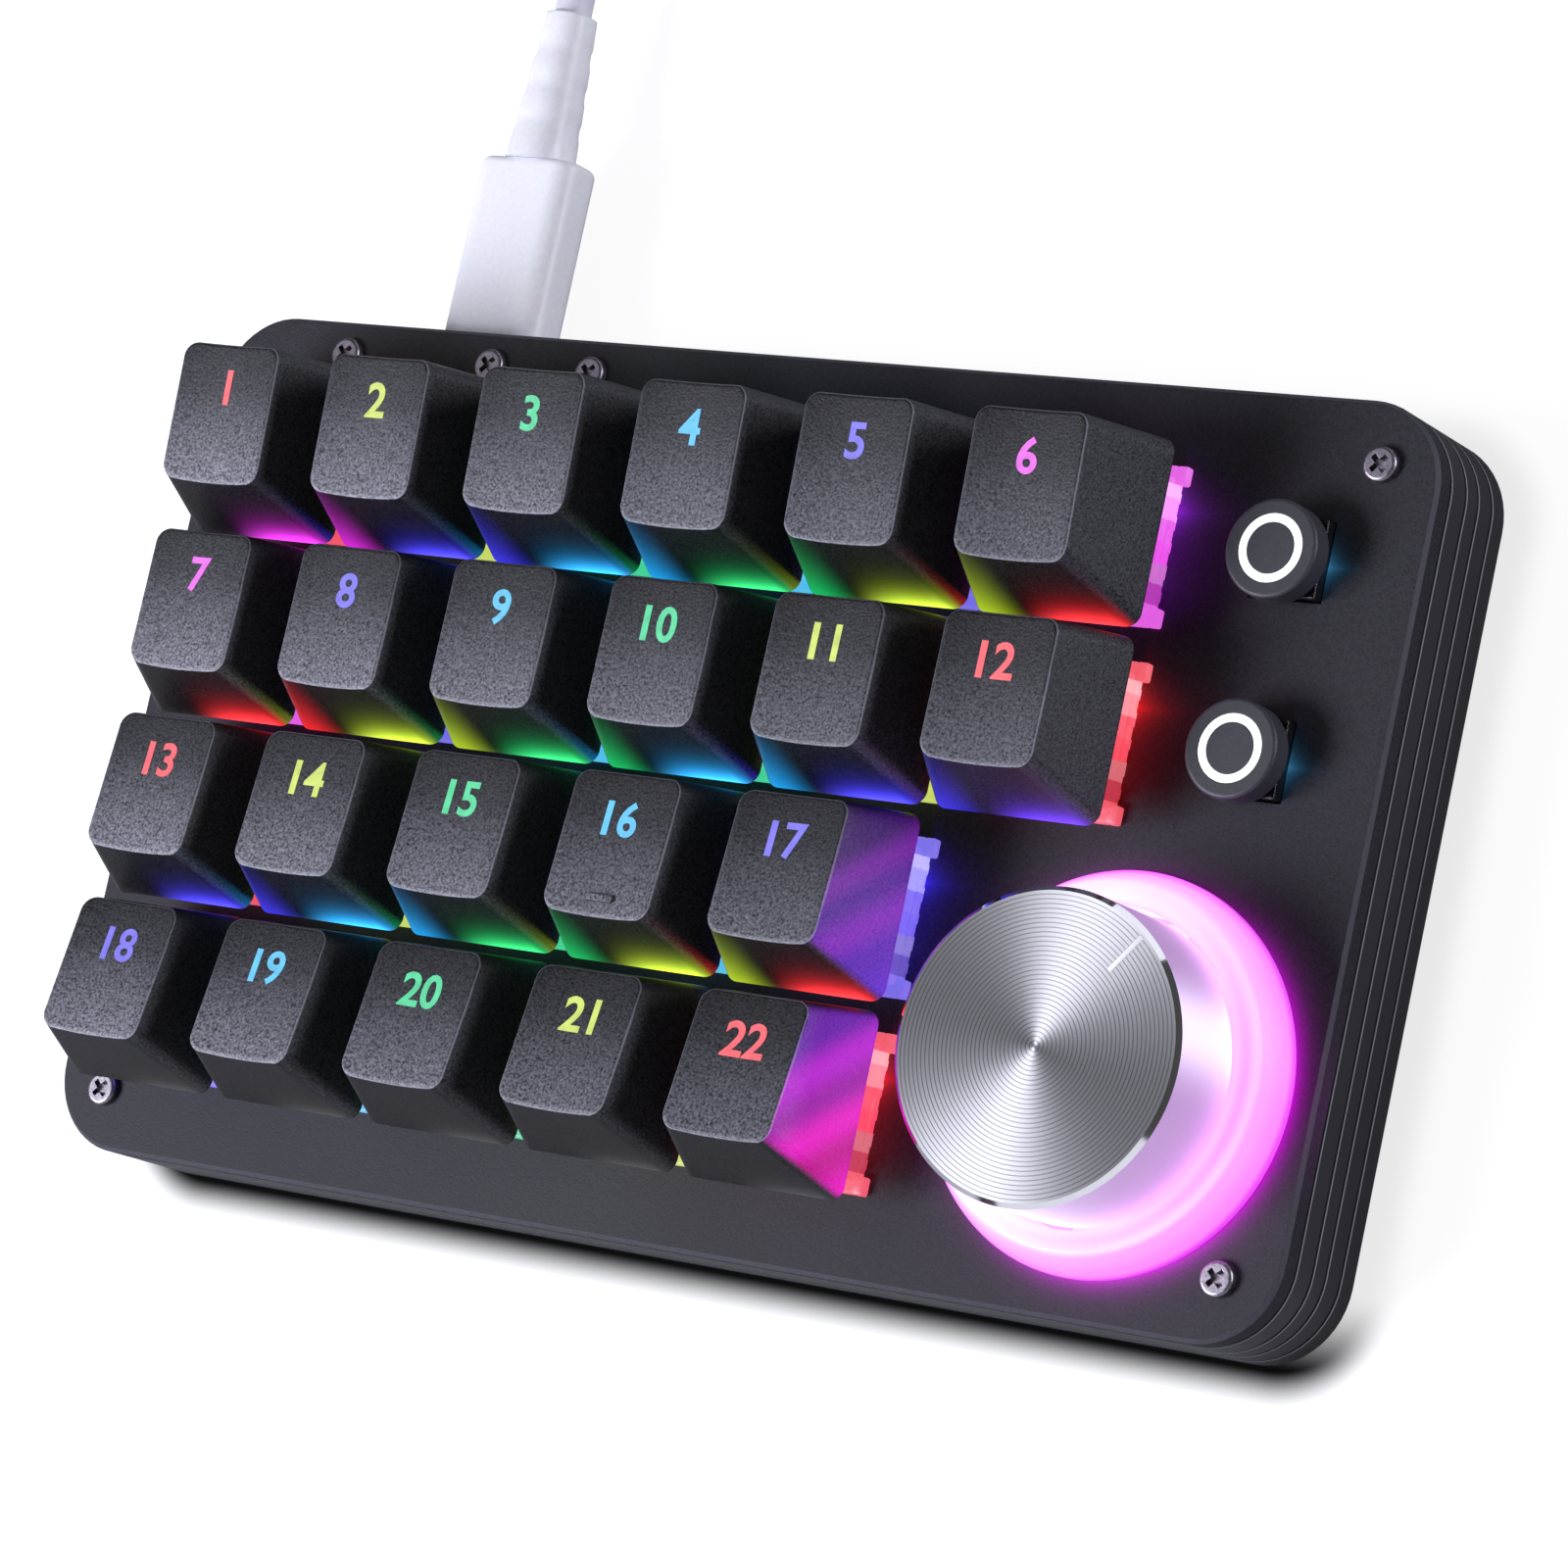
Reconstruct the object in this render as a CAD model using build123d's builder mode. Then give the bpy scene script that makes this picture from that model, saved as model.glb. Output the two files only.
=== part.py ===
from build123d import *

import os
from math import cos, dist, pi, radians, tan

# All lengths are in mm. +X runs to the right, +Y to the back and +Z up, and the origin lies on the
# desk under the middle of the case.

# Key grid
key_pitch = 19.05
row_key_counts = (6, 6, 5, 5)
key_travel = 4.0

# Case margins, from the grid to the edges
left_margin = 15.5
back_margin = 15.85
front_margin = 16.05
control_margin = 33.75

# Case layers, from the top down
top_plate_thickness = 2.5
upper_frame_thickness = 3.2
middle_frame_thickness = 2.6
lower_frame_thickness = 3.0
bottom_plate_thickness = 3.1
case_corner_radius = 8.5
frame_wall = 6.0
frame_inner_radius = 9.0
plate_edge_chamfer = 0.4
seam_chamfer = 0.2

# Feet
foot_radius = 5.0
foot_height = 2.0
foot_inset = 12.0
foot_edge_chamfer = 0.5

# Case screws and nuts
screw_shank_radius = 1.0
screw_hole_clearance = 0.15
screw_head_radius = 1.75
screw_head_height = 0.9
screw_head_rounding = 0.4
screw_inset = 6.2
screw_back_inset = 3.6
back_screw_insets = (16.35, 34.85, 47.45)
cross_recess_length = 2.0
cross_recess_width = 0.55
cross_recess_depth = 0.6
cross_recess_angle = 45.0
nut_across_flats = 4.0
nut_height = 1.6
nut_pocket_clearance = 0.15
thread_clearance = 0.02

# Switches
switch_cutout = 14.0
switch_clearance = 0.1
flange_lip = 0.8
flange_thickness = 1.0
flange_corner_length = 2.9
flange_corner_radius = 0.6
housing_top_width = 10.8
housing_height = 6.6
housing_roof = 1.6
base_floor = 1.0
board_drop = 5.0
slider_width = 7.8
slider_depth = 7.2
slider_clearance = 0.2
neck_width = 6.9
neck_depth = 5.6
neck_clearance = 0.15
stop_clearance = 0.05
bottom_clearance = 0.4
spring_outer_radius = 2.2
spring_inner_radius = 1.8
spring_clearance = 0.2
spring_pole_radius = 1.5
spring_seat_depth = 3.0
post_radius = 1.9
post_length = 3.2
post_clearance = 0.1
pin_radius = 0.7
pin_length = 3.3
pin_clearance = 0.1
pin_offsets = ((3.81, -2.54), (-2.54, -5.08))

# Keycaps and the cross posts that carry them
keycap_gap = 0.85
skirt_clearance = 1.2
keycap_wall = 1.3
keycap_roof = 1.4
keycap_corner_radius = 1.5
keycap_top_width = 12.1
keycap_top_back = 8.3
keycap_top_front = -5.7
keycap_top_radius = 1.6
keycap_rim_fillet = 0.35
dish_sag = 0.7
dish_overhang = 0.3
back_heights = (11.5, 9.2, 8.2, 7.6)
front_heights = (10.8, 9.4, 9.7, 10.3)
cross_length = 4.0
cross_width_x = 1.3
cross_width_y = 1.1
cross_height = 3.6
cross_clearance = 0.03
socket_radius = 2.75

# Homing bar on one key of the third row
homing_row_index = 2
homing_column_index = 3
homing_bar_length = 3.4
homing_bar_width = 0.7
homing_bar_height = 0.35
homing_bar_front = 1.6

# Circuit board and what it carries
board_thickness = 1.6
board_clearance = 0.4
key_led_size = (3.5, 2.8, 1.4)
key_led_offset = 4.7
led_pocket_clearance = 0.3
chip_size = (7.0, 7.0, 0.9)
ring_led_size = (5.0, 5.0, 1.6)
ring_led_count = 8
ring_led_inset = 2.7

# Knob, encoder and light ring
knob_right_inset = 21.75
knob_front_inset = 23.2
knob_radius = 14.9
knob_top = 14.3
knob_bottom = 3.0
knob_face_thickness = 1.6
knob_wall = 2.2
knob_rim_chamfer = 0.45
knob_insert_clearance = 0.05
knob_push = 0.5
knob_hub_clearance = 0.9
pointer_length = 4.4
pointer_width = 0.5
pointer_depth = 0.2
pointer_inset = 0.2
pointer_angle = 52.0
ring_gap = 0.4
ring_width = 3.95
ring_edge_height = 0.5
ring_slope_width = 1.75
ring_shoulder_height = 4.1
ring_shoulder_fillet = 0.6
ring_top_height = 4.3
ring_lip_depth = 1.5
ring_lip_wall = 0.7
ring_lip_clearance = 0.1
encoder_width = 12.0
encoder_body_height = 5.0
bushing_plate_thickness = 1.5
bushing_radius = 3.5
bushing_length = 5.0
shaft_radius = 3.0
shaft_clearance = 0.05
shaft_flat_depth = 1.5
shaft_flat_length = 5.0
shaft_collar_radius = 4.2
shaft_collar_height = 1.2
plunger_radius = 2.0
plunger_height = 1.2
plunger_clearance = 0.05

# Push buttons
button_right_inset = 13.6
button_body_width = 7.5
button_body_rise = 1.3
button_body_clearance = 0.15
button_cap_radius = 4.77
button_cap_top = 4.5
button_cap_thickness = 2.5
button_cap_rounding = 0.35
button_stem_radius = 2.4
button_stem_clearance = 0.1
button_stem_depth = 1.6
button_travel = 0.5
lens_outer_radius = 3.28
lens_inner_radius = 2.5
lens_depth = 1.0
lens_clearance = 0.03
dome_radius = 2.2
dome_flat_height = 0.4
dome_wall = 0.25
dome_clearance = 0.05

# Cable socket, plug and strain relief
port_left_inset = 28.95
socket_width = 8.94
socket_height = 3.26
socket_depth = 7.35
socket_wall = 0.3
socket_recess = 1.5
port_clearance = 0.4
tongue_height = 2.4
tongue_clearance = 0.05
tongue_wall = 0.3
plug_width = 12.4
plug_height = 6.6
plug_length = 20.0
plug_edge_radius = 2.6
plug_end_fillet = 0.8
plug_stand_off = 0.3
relief_width = 7.4
relief_end_width = 5.4
relief_length = 16.0

# Cable: free stretch, then the unseen length in a piled coil
cable_radius = 2.0
cable_straight = 12.0
cable_bends = ((-0.7, 26.2, 5.4), (-3.0, 41.2, 2.5))
coil_lead_run = 12.8
coil_side_offset = -30.7
coil_back_offset = 107.475
coil_mean_radius = 21.6
coil_turn_pitch = 5.4
coil_layer_pitch = 4.7
coil_layers = 4
half_turns_per_layer = 4
coil_tail_radius = 12.0
coil_gap_samples = 900
tie_width = 8.0
tie_thickness = 0.8
tie_clearance = 0.3
tie_corner_radius = 1.2
far_plug_width = 15.7
far_plug_height = 8.0
far_plug_length = 25.0
far_plug_edge_radius = 2.0
far_shell_width = 12.0
far_shell_height = 4.5
far_shell_length = 12.0
far_shell_wall = 0.4
far_plug_rest_gap = 2.4

# Derived outline of the case
columns = max(row_key_counts)
case_width = left_margin + (columns - 1) * key_pitch + control_margin
case_depth = back_margin + (len(row_key_counts) - 1) * key_pitch + front_margin
half_width = case_width / 2
half_depth = case_depth / 2

# Derived heights
bottom_plate_z = foot_height
lower_frame_z = bottom_plate_z + bottom_plate_thickness
middle_frame_z = lower_frame_z + lower_frame_thickness
upper_frame_z = middle_frame_z + middle_frame_thickness
top_plate_z = upper_frame_z + upper_frame_thickness
plate_top = top_plate_z + top_plate_thickness
board_top = plate_top - board_drop
board_bottom = board_top - board_thickness
housing_top = plate_top + housing_height
skirt_bottom = plate_top + flange_thickness + key_travel + skirt_clearance
slider_bottom = board_top + base_floor + key_travel + bottom_clearance
slider_top = housing_top - housing_roof - stop_clearance

# Derived places in the plan
first_column = -half_width + left_margin
first_row = half_depth - back_margin
knob_centre = (half_width - knob_right_inset, -half_depth + knob_front_inset)
button_x = half_width - button_right_inset
port_x = port_left_inset - half_width
button_centres = {"upper": (button_x, first_row), "lower": (button_x, first_row - key_pitch)}
foot_x = half_width - foot_inset
foot_y = half_depth - foot_inset
corner_x = half_width - screw_inset
corner_y = half_depth - screw_inset
screw_back_y = half_depth - screw_back_inset
corner_screws = [(sx * corner_x, sy * corner_y) for sx in (-1, 1) for sy in (-1, 1)]
back_screws = [(inset - half_width, screw_back_y) for inset in back_screw_insets]
chip_centre = (first_column + 1.5 * key_pitch, first_row - 1.5 * key_pitch)


def key_centre(row, column):
    """Centre of one key in the plan."""
    return (first_column + column * key_pitch, first_row - row * key_pitch)


key_places = [(row, column) for row, count in enumerate(row_key_counts) for column in range(count)]
key_centres = [key_centre(row, column) for row, column in key_places]
key_led_centres = [(x, y + key_led_offset) for x, y in key_centres]
pin_centres = [(x + dx, y + dy) for x, y in key_centres for dx, dy in pin_offsets]

os.makedirs("parts", exist_ok=True)


def save(part, name):
    """Label one finished piece and write its file."""
    part.label = name
    export_step(part, f"parts/{name}.step")


# Holes of the case layers
screw_hole_radius = screw_shank_radius + screw_hole_clearance
ring_bore_radius = knob_radius + ring_gap
ring_lip_radius = ring_bore_radius + ring_lip_wall
ring_outer_radius = ring_bore_radius + ring_width
ring_shoulder_radius = ring_outer_radius - ring_slope_width
plate_ring_hole = ring_lip_radius + ring_lip_clearance
button_hole_width = button_body_width + 2 * button_body_clearance
nut_pocket_radius = (nut_across_flats / 2 + nut_pocket_clearance) / cos(radians(30))


def make_slab(bottom, thickness, upper_chamfer, lower_chamfer):
    """The case's outline over one layer, with its outer edges broken so that the seams show."""
    with BuildPart() as slab:
        with BuildSketch(Plane.XY.offset(bottom)):
            RectangleRounded(case_width, case_depth, case_corner_radius)
        extrude(amount=thickness)
        chamfer(slab.faces().sort_by(Axis.Z)[-1].edges(), upper_chamfer)
        chamfer(slab.faces().sort_by(Axis.Z)[0].edges(), lower_chamfer)
    return slab.part


# Top plate
with BuildPart() as top_plate:
    add(make_slab(top_plate_z, top_plate_thickness, plate_edge_chamfer, seam_chamfer))
    with BuildSketch(Plane.XY.offset(top_plate_z)):
        with Locations(*key_centres):
            Rectangle(switch_cutout, switch_cutout)
        with Locations(knob_centre):
            Circle(plate_ring_hole)
        with Locations(*button_centres.values()):
            Rectangle(button_hole_width, button_hole_width)
        with Locations(*corner_screws, *back_screws):
            Circle(screw_hole_radius)
    extrude(amount=top_plate_thickness, mode=Mode.SUBTRACT)
save(top_plate.part, "top_plate")

# Port opening through the two frames beside the socket
port_width = socket_width + 2 * port_clearance


def make_frame(bottom, thickness, has_port):
    """One open ring of the case, with the gap for the cable port or the back screws' threads."""
    with BuildPart() as frame:
        add(make_slab(bottom, thickness, seam_chamfer, seam_chamfer))
        with BuildSketch(Plane.XY.offset(bottom)):
            RectangleRounded(case_width - 2 * frame_wall, case_depth - 2 * frame_wall, frame_inner_radius)
            with Locations(*corner_screws):
                Circle(screw_hole_radius)
            if has_port:
                with Locations((port_x, half_depth)):
                    Rectangle(port_width, 2 * (frame_wall + board_clearance))
            else:
                with Locations(*back_screws):
                    Circle(screw_shank_radius + thread_clearance)
        extrude(amount=thickness, mode=Mode.SUBTRACT)
    return frame.part


save(make_frame(upper_frame_z, upper_frame_thickness, False), "upper_frame")
save(make_frame(middle_frame_z, middle_frame_thickness, True), "middle_frame")
save(make_frame(lower_frame_z, lower_frame_thickness, True), "lower_frame")

# Bottom plate, with a pocket for each nut on its underside
with BuildPart() as bottom_plate:
    add(make_slab(bottom_plate_z, bottom_plate_thickness, seam_chamfer, plate_edge_chamfer))
    with BuildSketch(Plane.XY.offset(bottom_plate_z)):
        with Locations(*corner_screws):
            Circle(screw_hole_radius)
    extrude(amount=bottom_plate_thickness, mode=Mode.SUBTRACT)
    with BuildSketch(Plane.XY.offset(bottom_plate_z)):
        with Locations(*corner_screws):
            RegularPolygon(nut_pocket_radius, 6)
    extrude(amount=nut_height, mode=Mode.SUBTRACT)
save(bottom_plate.part, "bottom_plate")


def make_screw(shank_end):
    """A rounded head with a cross recess on the plate, and a shank down to the given height."""
    with BuildPart() as screw:
        with BuildSketch(Plane.XY.offset(plate_top)):
            Circle(screw_head_radius)
        extrude(amount=screw_head_height)
        fillet(screw.faces().sort_by(Axis.Z)[-1].edges(), screw_head_rounding)
        with BuildSketch(Plane.XY.offset(plate_top + screw_head_height)):
            Rectangle(cross_recess_length, cross_recess_width, rotation=cross_recess_angle)
            Rectangle(cross_recess_width, cross_recess_length, rotation=cross_recess_angle)
        extrude(amount=-cross_recess_depth, mode=Mode.SUBTRACT)
        with BuildSketch(Plane.XY.offset(plate_top)):
            Circle(screw_shank_radius)
        extrude(amount=shank_end - plate_top)
    return screw.part


# Case screws: long ones through the whole stack, short ones into the upper frame
corner_screw = make_screw(bottom_plate_z)
back_screw = make_screw(upper_frame_z)
with BuildPart() as case_screws:
    with Locations(*corner_screws):
        add(corner_screw)
    with Locations(*back_screws):
        add(back_screw)
save(case_screws.part, "case_screws")

with BuildPart() as case_nuts:
    with BuildSketch(Plane.XY.offset(bottom_plate_z)):
        with Locations(*corner_screws):
            RegularPolygon(nut_across_flats / 2 / cos(radians(30)), 6)
            Circle(screw_shank_radius + thread_clearance, mode=Mode.SUBTRACT)
    extrude(amount=nut_height)
save(case_nuts.part, "case_nuts")

# Rubber feet
with BuildPart() as rubber_feet:
    with BuildSketch():
        with Locations(*[(sx * foot_x, sy * foot_y) for sx in (-1, 1) for sy in (-1, 1)]):
            Circle(foot_radius)
    extrude(amount=foot_height)
    chamfer(rubber_feet.edges().group_by(Axis.Z)[0], foot_edge_chamfer)
save(rubber_feet.part, "rubber_feet")

# Circuit board
board_width = case_width - 2 * (frame_wall + board_clearance)
board_depth = case_depth - 2 * (frame_wall + board_clearance)
with BuildPart() as circuit_board:
    with BuildSketch(Plane.XY.offset(board_bottom)):
        RectangleRounded(board_width, board_depth, frame_inner_radius)
        with Locations(*key_centres):
            Circle(post_radius + post_clearance, mode=Mode.SUBTRACT)
        with Locations(*pin_centres):
            Circle(pin_radius + pin_clearance, mode=Mode.SUBTRACT)
    extrude(amount=board_thickness)
save(circuit_board.part, "circuit_board")

with BuildPart() as controller_chip:
    with BuildSketch(Plane.XY.offset(board_bottom)):
        with Locations(chip_centre):
            Rectangle(chip_size[0], chip_size[1])
    extrude(amount=-chip_size[2])
save(controller_chip.part, "controller_chip")

# Lights under the keys and round the knob
with BuildPart() as key_leds:
    with BuildSketch(Plane.XY.offset(board_top)):
        with Locations(*key_led_centres):
            Rectangle(key_led_size[0], key_led_size[1])
    extrude(amount=key_led_size[2])
save(key_leds.part, "key_leds")

ring_led_radius = ring_bore_radius - ring_led_inset
with BuildPart() as ring_leds:
    with BuildSketch(Plane.XY.offset(board_top)):
        with Locations(knob_centre):
            with PolarLocations(ring_led_radius, ring_led_count):
                Rectangle(ring_led_size[0], ring_led_size[1])
    extrude(amount=ring_led_size[2])
save(ring_leds.part, "ring_leds")

# Upper switch housing: notched flange on the plate, tapered body, roof with the stem's opening
flange_width = switch_cutout + 2 * flange_lip
slider_bore_width = slider_width + 2 * slider_clearance
slider_bore_depth = slider_depth + 2 * slider_clearance
notch_length = flange_width - 2 * flange_corner_length
with BuildPart() as housing:
    with BuildSketch(Plane.XY.offset(plate_top)):
        RectangleRounded(flange_width, flange_width, flange_corner_radius)
        with Locations((-flange_width / 2, 0), (flange_width / 2, 0)):
            Rectangle(2 * flange_lip, notch_length, mode=Mode.SUBTRACT)
    extrude(amount=flange_thickness)
    with BuildSketch(Plane.XY.offset(plate_top + flange_thickness)):
        RectangleRounded(switch_cutout, switch_cutout, flange_corner_radius)
    with BuildSketch(Plane.XY.offset(housing_top)):
        RectangleRounded(housing_top_width, housing_top_width, flange_corner_radius)
    loft()
    with BuildSketch(Plane.XY.offset(plate_top)):
        Rectangle(slider_bore_width, slider_bore_depth)
    extrude(amount=housing_height - housing_roof, mode=Mode.SUBTRACT)
    with BuildSketch(Plane.XY.offset(housing_top)):
        Rectangle(neck_width + 2 * neck_clearance, neck_depth + 2 * neck_clearance)
    extrude(amount=-2 * housing_roof, mode=Mode.SUBTRACT)

with BuildPart() as switch_housings:
    with Locations(*key_centres):
        add(housing.part)
save(switch_housings.part, "switch_housings")

# Lower switch housing: box through the plate, standing on the board, with post and spring pole
base_width = switch_cutout - 2 * switch_clearance
with BuildPart() as base:
    with BuildSketch(Plane.XY.offset(board_top)):
        Rectangle(base_width, base_width)
    extrude(amount=board_drop)
    with BuildSketch(Plane.XY.offset(board_top + base_floor)):
        Rectangle(slider_bore_width, slider_bore_depth)
    extrude(amount=board_drop, mode=Mode.SUBTRACT)
    with BuildSketch(Plane.XY.offset(board_top)):
        with Locations((0, key_led_offset)):
            Rectangle(
                key_led_size[0] + 2 * led_pocket_clearance,
                key_led_size[1] + 2 * led_pocket_clearance,
            )
    extrude(amount=board_drop, mode=Mode.SUBTRACT)
    with BuildSketch(Plane.XY.offset(board_top)):
        Circle(post_radius)
    extrude(amount=-post_length)
    with BuildSketch(Plane.XY.offset(board_top)):
        Circle(spring_pole_radius)
    extrude(amount=base_floor + spring_seat_depth)

with BuildPart() as switch_bases:
    with Locations(*key_centres):
        add(base.part)
save(switch_bases.part, "switch_bases")

# Return springs, shown by their outer shape, and contact pins
spring_bottom = board_top + base_floor
with BuildPart() as switch_springs:
    with BuildSketch(Plane.XY.offset(spring_bottom)):
        with Locations(*key_centres):
            Circle(spring_outer_radius)
            Circle(spring_inner_radius, mode=Mode.SUBTRACT)
    extrude(amount=slider_bottom + spring_seat_depth - spring_bottom)
save(switch_springs.part, "switch_springs")

with BuildPart() as switch_pins:
    with BuildSketch(Plane.XY.offset(board_top)):
        with Locations(*pin_centres):
            Circle(pin_radius)
    extrude(amount=-pin_length)
save(switch_pins.part, "switch_pins")

# Key stem: slider with a spring seat, neck through the roof, cross post for the keycap
with BuildPart() as key_stem:
    with BuildSketch(Plane.XY.offset(slider_bottom)):
        Rectangle(slider_width, slider_depth)
    extrude(amount=slider_top - slider_bottom)
    with BuildSketch(Plane.XY.offset(slider_top)):
        Rectangle(neck_width, neck_depth)
    extrude(amount=housing_top - slider_top)
    with BuildSketch(Plane.XY.offset(housing_top)):
        Rectangle(cross_length, cross_width_x)
        Rectangle(cross_width_y, cross_length)
    extrude(amount=cross_height)
    with BuildSketch(Plane.XY.offset(slider_bottom)):
        Circle(spring_outer_radius + spring_clearance)
    extrude(amount=spring_seat_depth, mode=Mode.SUBTRACT)

# Keycaps: one profile for each row
keycap_width = key_pitch - keycap_gap
keycap_top_length = keycap_top_back - keycap_top_front
dish_half_width = keycap_top_width / 2 + dish_overhang
dish_radius = (dish_half_width**2 + dish_sag**2) / (2 * dish_sag)


def make_keycap(row, has_homing_bar):
    """A hollow keycap about the key's own axis, its sloped top dished across its width."""
    back_height = back_heights[row]
    front_height = front_heights[row]
    rise = back_height - front_height
    middle_y = (keycap_top_back + keycap_top_front) / 2
    middle_z = skirt_bottom + (back_height + front_height) / 2
    top_plane = Plane((0, middle_y, middle_z), x_dir=(1, 0, 0), z_dir=(0, -rise, keycap_top_length))
    roof_plane = top_plane.offset(-dish_sag - keycap_roof)
    dish_plane = Plane((0, middle_y, middle_z), x_dir=(1, 0, 0), z_dir=(0, -keycap_top_length, -rise))
    with BuildPart() as keycap:
        with BuildSketch(Plane.XY.offset(skirt_bottom)):
            RectangleRounded(keycap_width, keycap_width, keycap_corner_radius)
        with BuildSketch(top_plane):
            RectangleRounded(keycap_top_width, keycap_top_length, keycap_top_radius)
        loft(ruled=True)
        with BuildSketch(dish_plane):
            with Locations((0, dish_radius - dish_sag)):
                Circle(dish_radius)
        extrude(amount=keycap_top_length, both=True, mode=Mode.SUBTRACT)
        fillet(keycap.faces().sort_by(Axis.Z)[-1].outer_wire().edges(), keycap_rim_fillet)
        inner_width = keycap_width - 2 * keycap_wall
        with BuildSketch(Plane.XY.offset(skirt_bottom)):
            RectangleRounded(inner_width, inner_width, keycap_corner_radius / 2)
        with BuildSketch(roof_plane):
            RectangleRounded(
                keycap_top_width - 2 * keycap_wall,
                keycap_top_length - 2 * keycap_wall,
                keycap_top_radius / 2,
            )
        loft(ruled=True, mode=Mode.SUBTRACT)
        with BuildSketch(Plane.XY.offset(housing_top + cross_clearance)):
            Circle(socket_radius)
        extrude(amount=roof_plane.origin.Z + keycap_roof / 2 - housing_top)
        with BuildSketch(Plane.XY.offset(housing_top)):
            Rectangle(cross_length + 2 * cross_clearance, cross_width_x + 2 * cross_clearance)
            Rectangle(cross_width_y + 2 * cross_clearance, cross_length + 2 * cross_clearance)
        extrude(amount=cross_height + cross_clearance, mode=Mode.SUBTRACT)
        if has_homing_bar:
            with BuildSketch(top_plane.offset(-dish_sag)):
                with Locations((0, homing_bar_front - keycap_top_length / 2)):
                    SlotOverall(homing_bar_length, homing_bar_width)
            extrude(amount=homing_bar_height)
    return keycap.part


plain_keycaps = [make_keycap(row, False) for row in range(len(row_key_counts))]
homing_keycap = make_keycap(homing_row_index, True)

for (row, column), centre in zip(key_places, key_centres):
    is_homing = (row, column) == (homing_row_index, homing_column_index)
    with BuildPart() as key:
        with Locations(centre):
            add(homing_keycap if is_homing else plain_keycaps[row])
            add(key_stem.part)
    save(key.part, f"key_r{row + 1}c{column + 1}")

# Light ring: flat-topped diffuser with a sloped side and a lip in the plate
ring_shoulder = (ring_shoulder_radius, ring_shoulder_height)
with BuildPart() as light_ring:
    ring_plane = Plane((*knob_centre, plate_top), x_dir=(1, 0, 0), z_dir=(0, -1, 0))
    with BuildSketch(ring_plane) as light_ring_profile:
        Polygon(
            (ring_bore_radius, -ring_lip_depth),
            (ring_lip_radius, -ring_lip_depth),
            (ring_lip_radius, 0),
            (ring_outer_radius, 0),
            (ring_outer_radius, ring_edge_height),
            ring_shoulder,
            (ring_bore_radius, ring_top_height),
            align=None,
        )
        fillet(light_ring_profile.vertices().sort_by_distance(ring_shoulder)[0], ring_shoulder_fillet)
    revolve(axis=Axis((*knob_centre, 0), (0, 0, 1)))
save(light_ring.part, "light_ring")

# Knob shell: a metal cup with a polished rim and a filled pointer line
knob_top_z = plate_top + knob_top
knob_bottom_z = plate_top + knob_bottom
shell_bore_radius = knob_radius - knob_wall
shell_roof_z = knob_top_z - knob_face_thickness
with BuildPart() as knob_shell:
    with BuildSketch(Plane.XY.offset(knob_bottom_z)):
        with Locations(knob_centre):
            Circle(knob_radius)
    extrude(amount=knob_top - knob_bottom)
    chamfer(knob_shell.faces().sort_by(Axis.Z)[-1].edges(), knob_rim_chamfer)
    with BuildSketch(Plane.XY.offset(knob_bottom_z)):
        with Locations(knob_centre):
            Circle(shell_bore_radius)
    extrude(amount=shell_roof_z - knob_bottom_z, mode=Mode.SUBTRACT)
    pointer_reach = knob_radius - knob_rim_chamfer - pointer_inset - pointer_length / 2
    pointer_plane = Plane((*knob_centre, knob_top_z)).rotated((0, 0, pointer_angle))
    with BuildSketch(pointer_plane):
        with Locations((pointer_reach, 0)):
            Rectangle(pointer_length, pointer_width)
    extrude(amount=-pointer_depth, mode=Mode.SUBTRACT)
save(knob_shell.part, "knob_shell")

# Encoder: plastic body on the board, metal plate with the threaded bushing, shaft and plunger
body_top = board_top + encoder_body_height
bushing_plate_top = body_top + bushing_plate_thickness
bushing_top = bushing_plate_top + bushing_length
collar_bottom = body_top - stop_clearance - shaft_collar_height
plunger_bottom = collar_bottom - plunger_height
shaft_bore_radius = shaft_radius + shaft_clearance
collar_bore_radius = shaft_collar_radius + 2 * shaft_clearance
with BuildPart() as encoder_body:
    with BuildSketch(Plane.XY.offset(board_top)):
        with Locations(knob_centre):
            Rectangle(encoder_width, encoder_width)
    extrude(amount=encoder_body_height)
    with BuildSketch(Plane.XY.offset(collar_bottom - knob_push - plunger_clearance)):
        with Locations(knob_centre):
            Circle(collar_bore_radius)
    extrude(amount=encoder_body_height, mode=Mode.SUBTRACT)
    with BuildSketch(Plane.XY.offset(plunger_bottom - knob_push - plunger_clearance)):
        with Locations(knob_centre):
            Circle(plunger_radius + plunger_clearance)
    extrude(amount=encoder_body_height, mode=Mode.SUBTRACT)
save(encoder_body.part, "encoder_body")

with BuildPart() as encoder_bushing:
    with BuildSketch(Plane.XY.offset(body_top)):
        with Locations(knob_centre):
            Rectangle(encoder_width, encoder_width)
    extrude(amount=bushing_plate_thickness)
    with BuildSketch(Plane.XY.offset(bushing_plate_top)):
        with Locations(knob_centre):
            Circle(bushing_radius)
    extrude(amount=bushing_length)
    with BuildSketch(Plane.XY.offset(body_top)):
        with Locations(knob_centre):
            Circle(shaft_bore_radius)
    extrude(amount=bushing_plate_thickness + bushing_length, mode=Mode.SUBTRACT)
save(encoder_bushing.part, "encoder_bushing")

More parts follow.
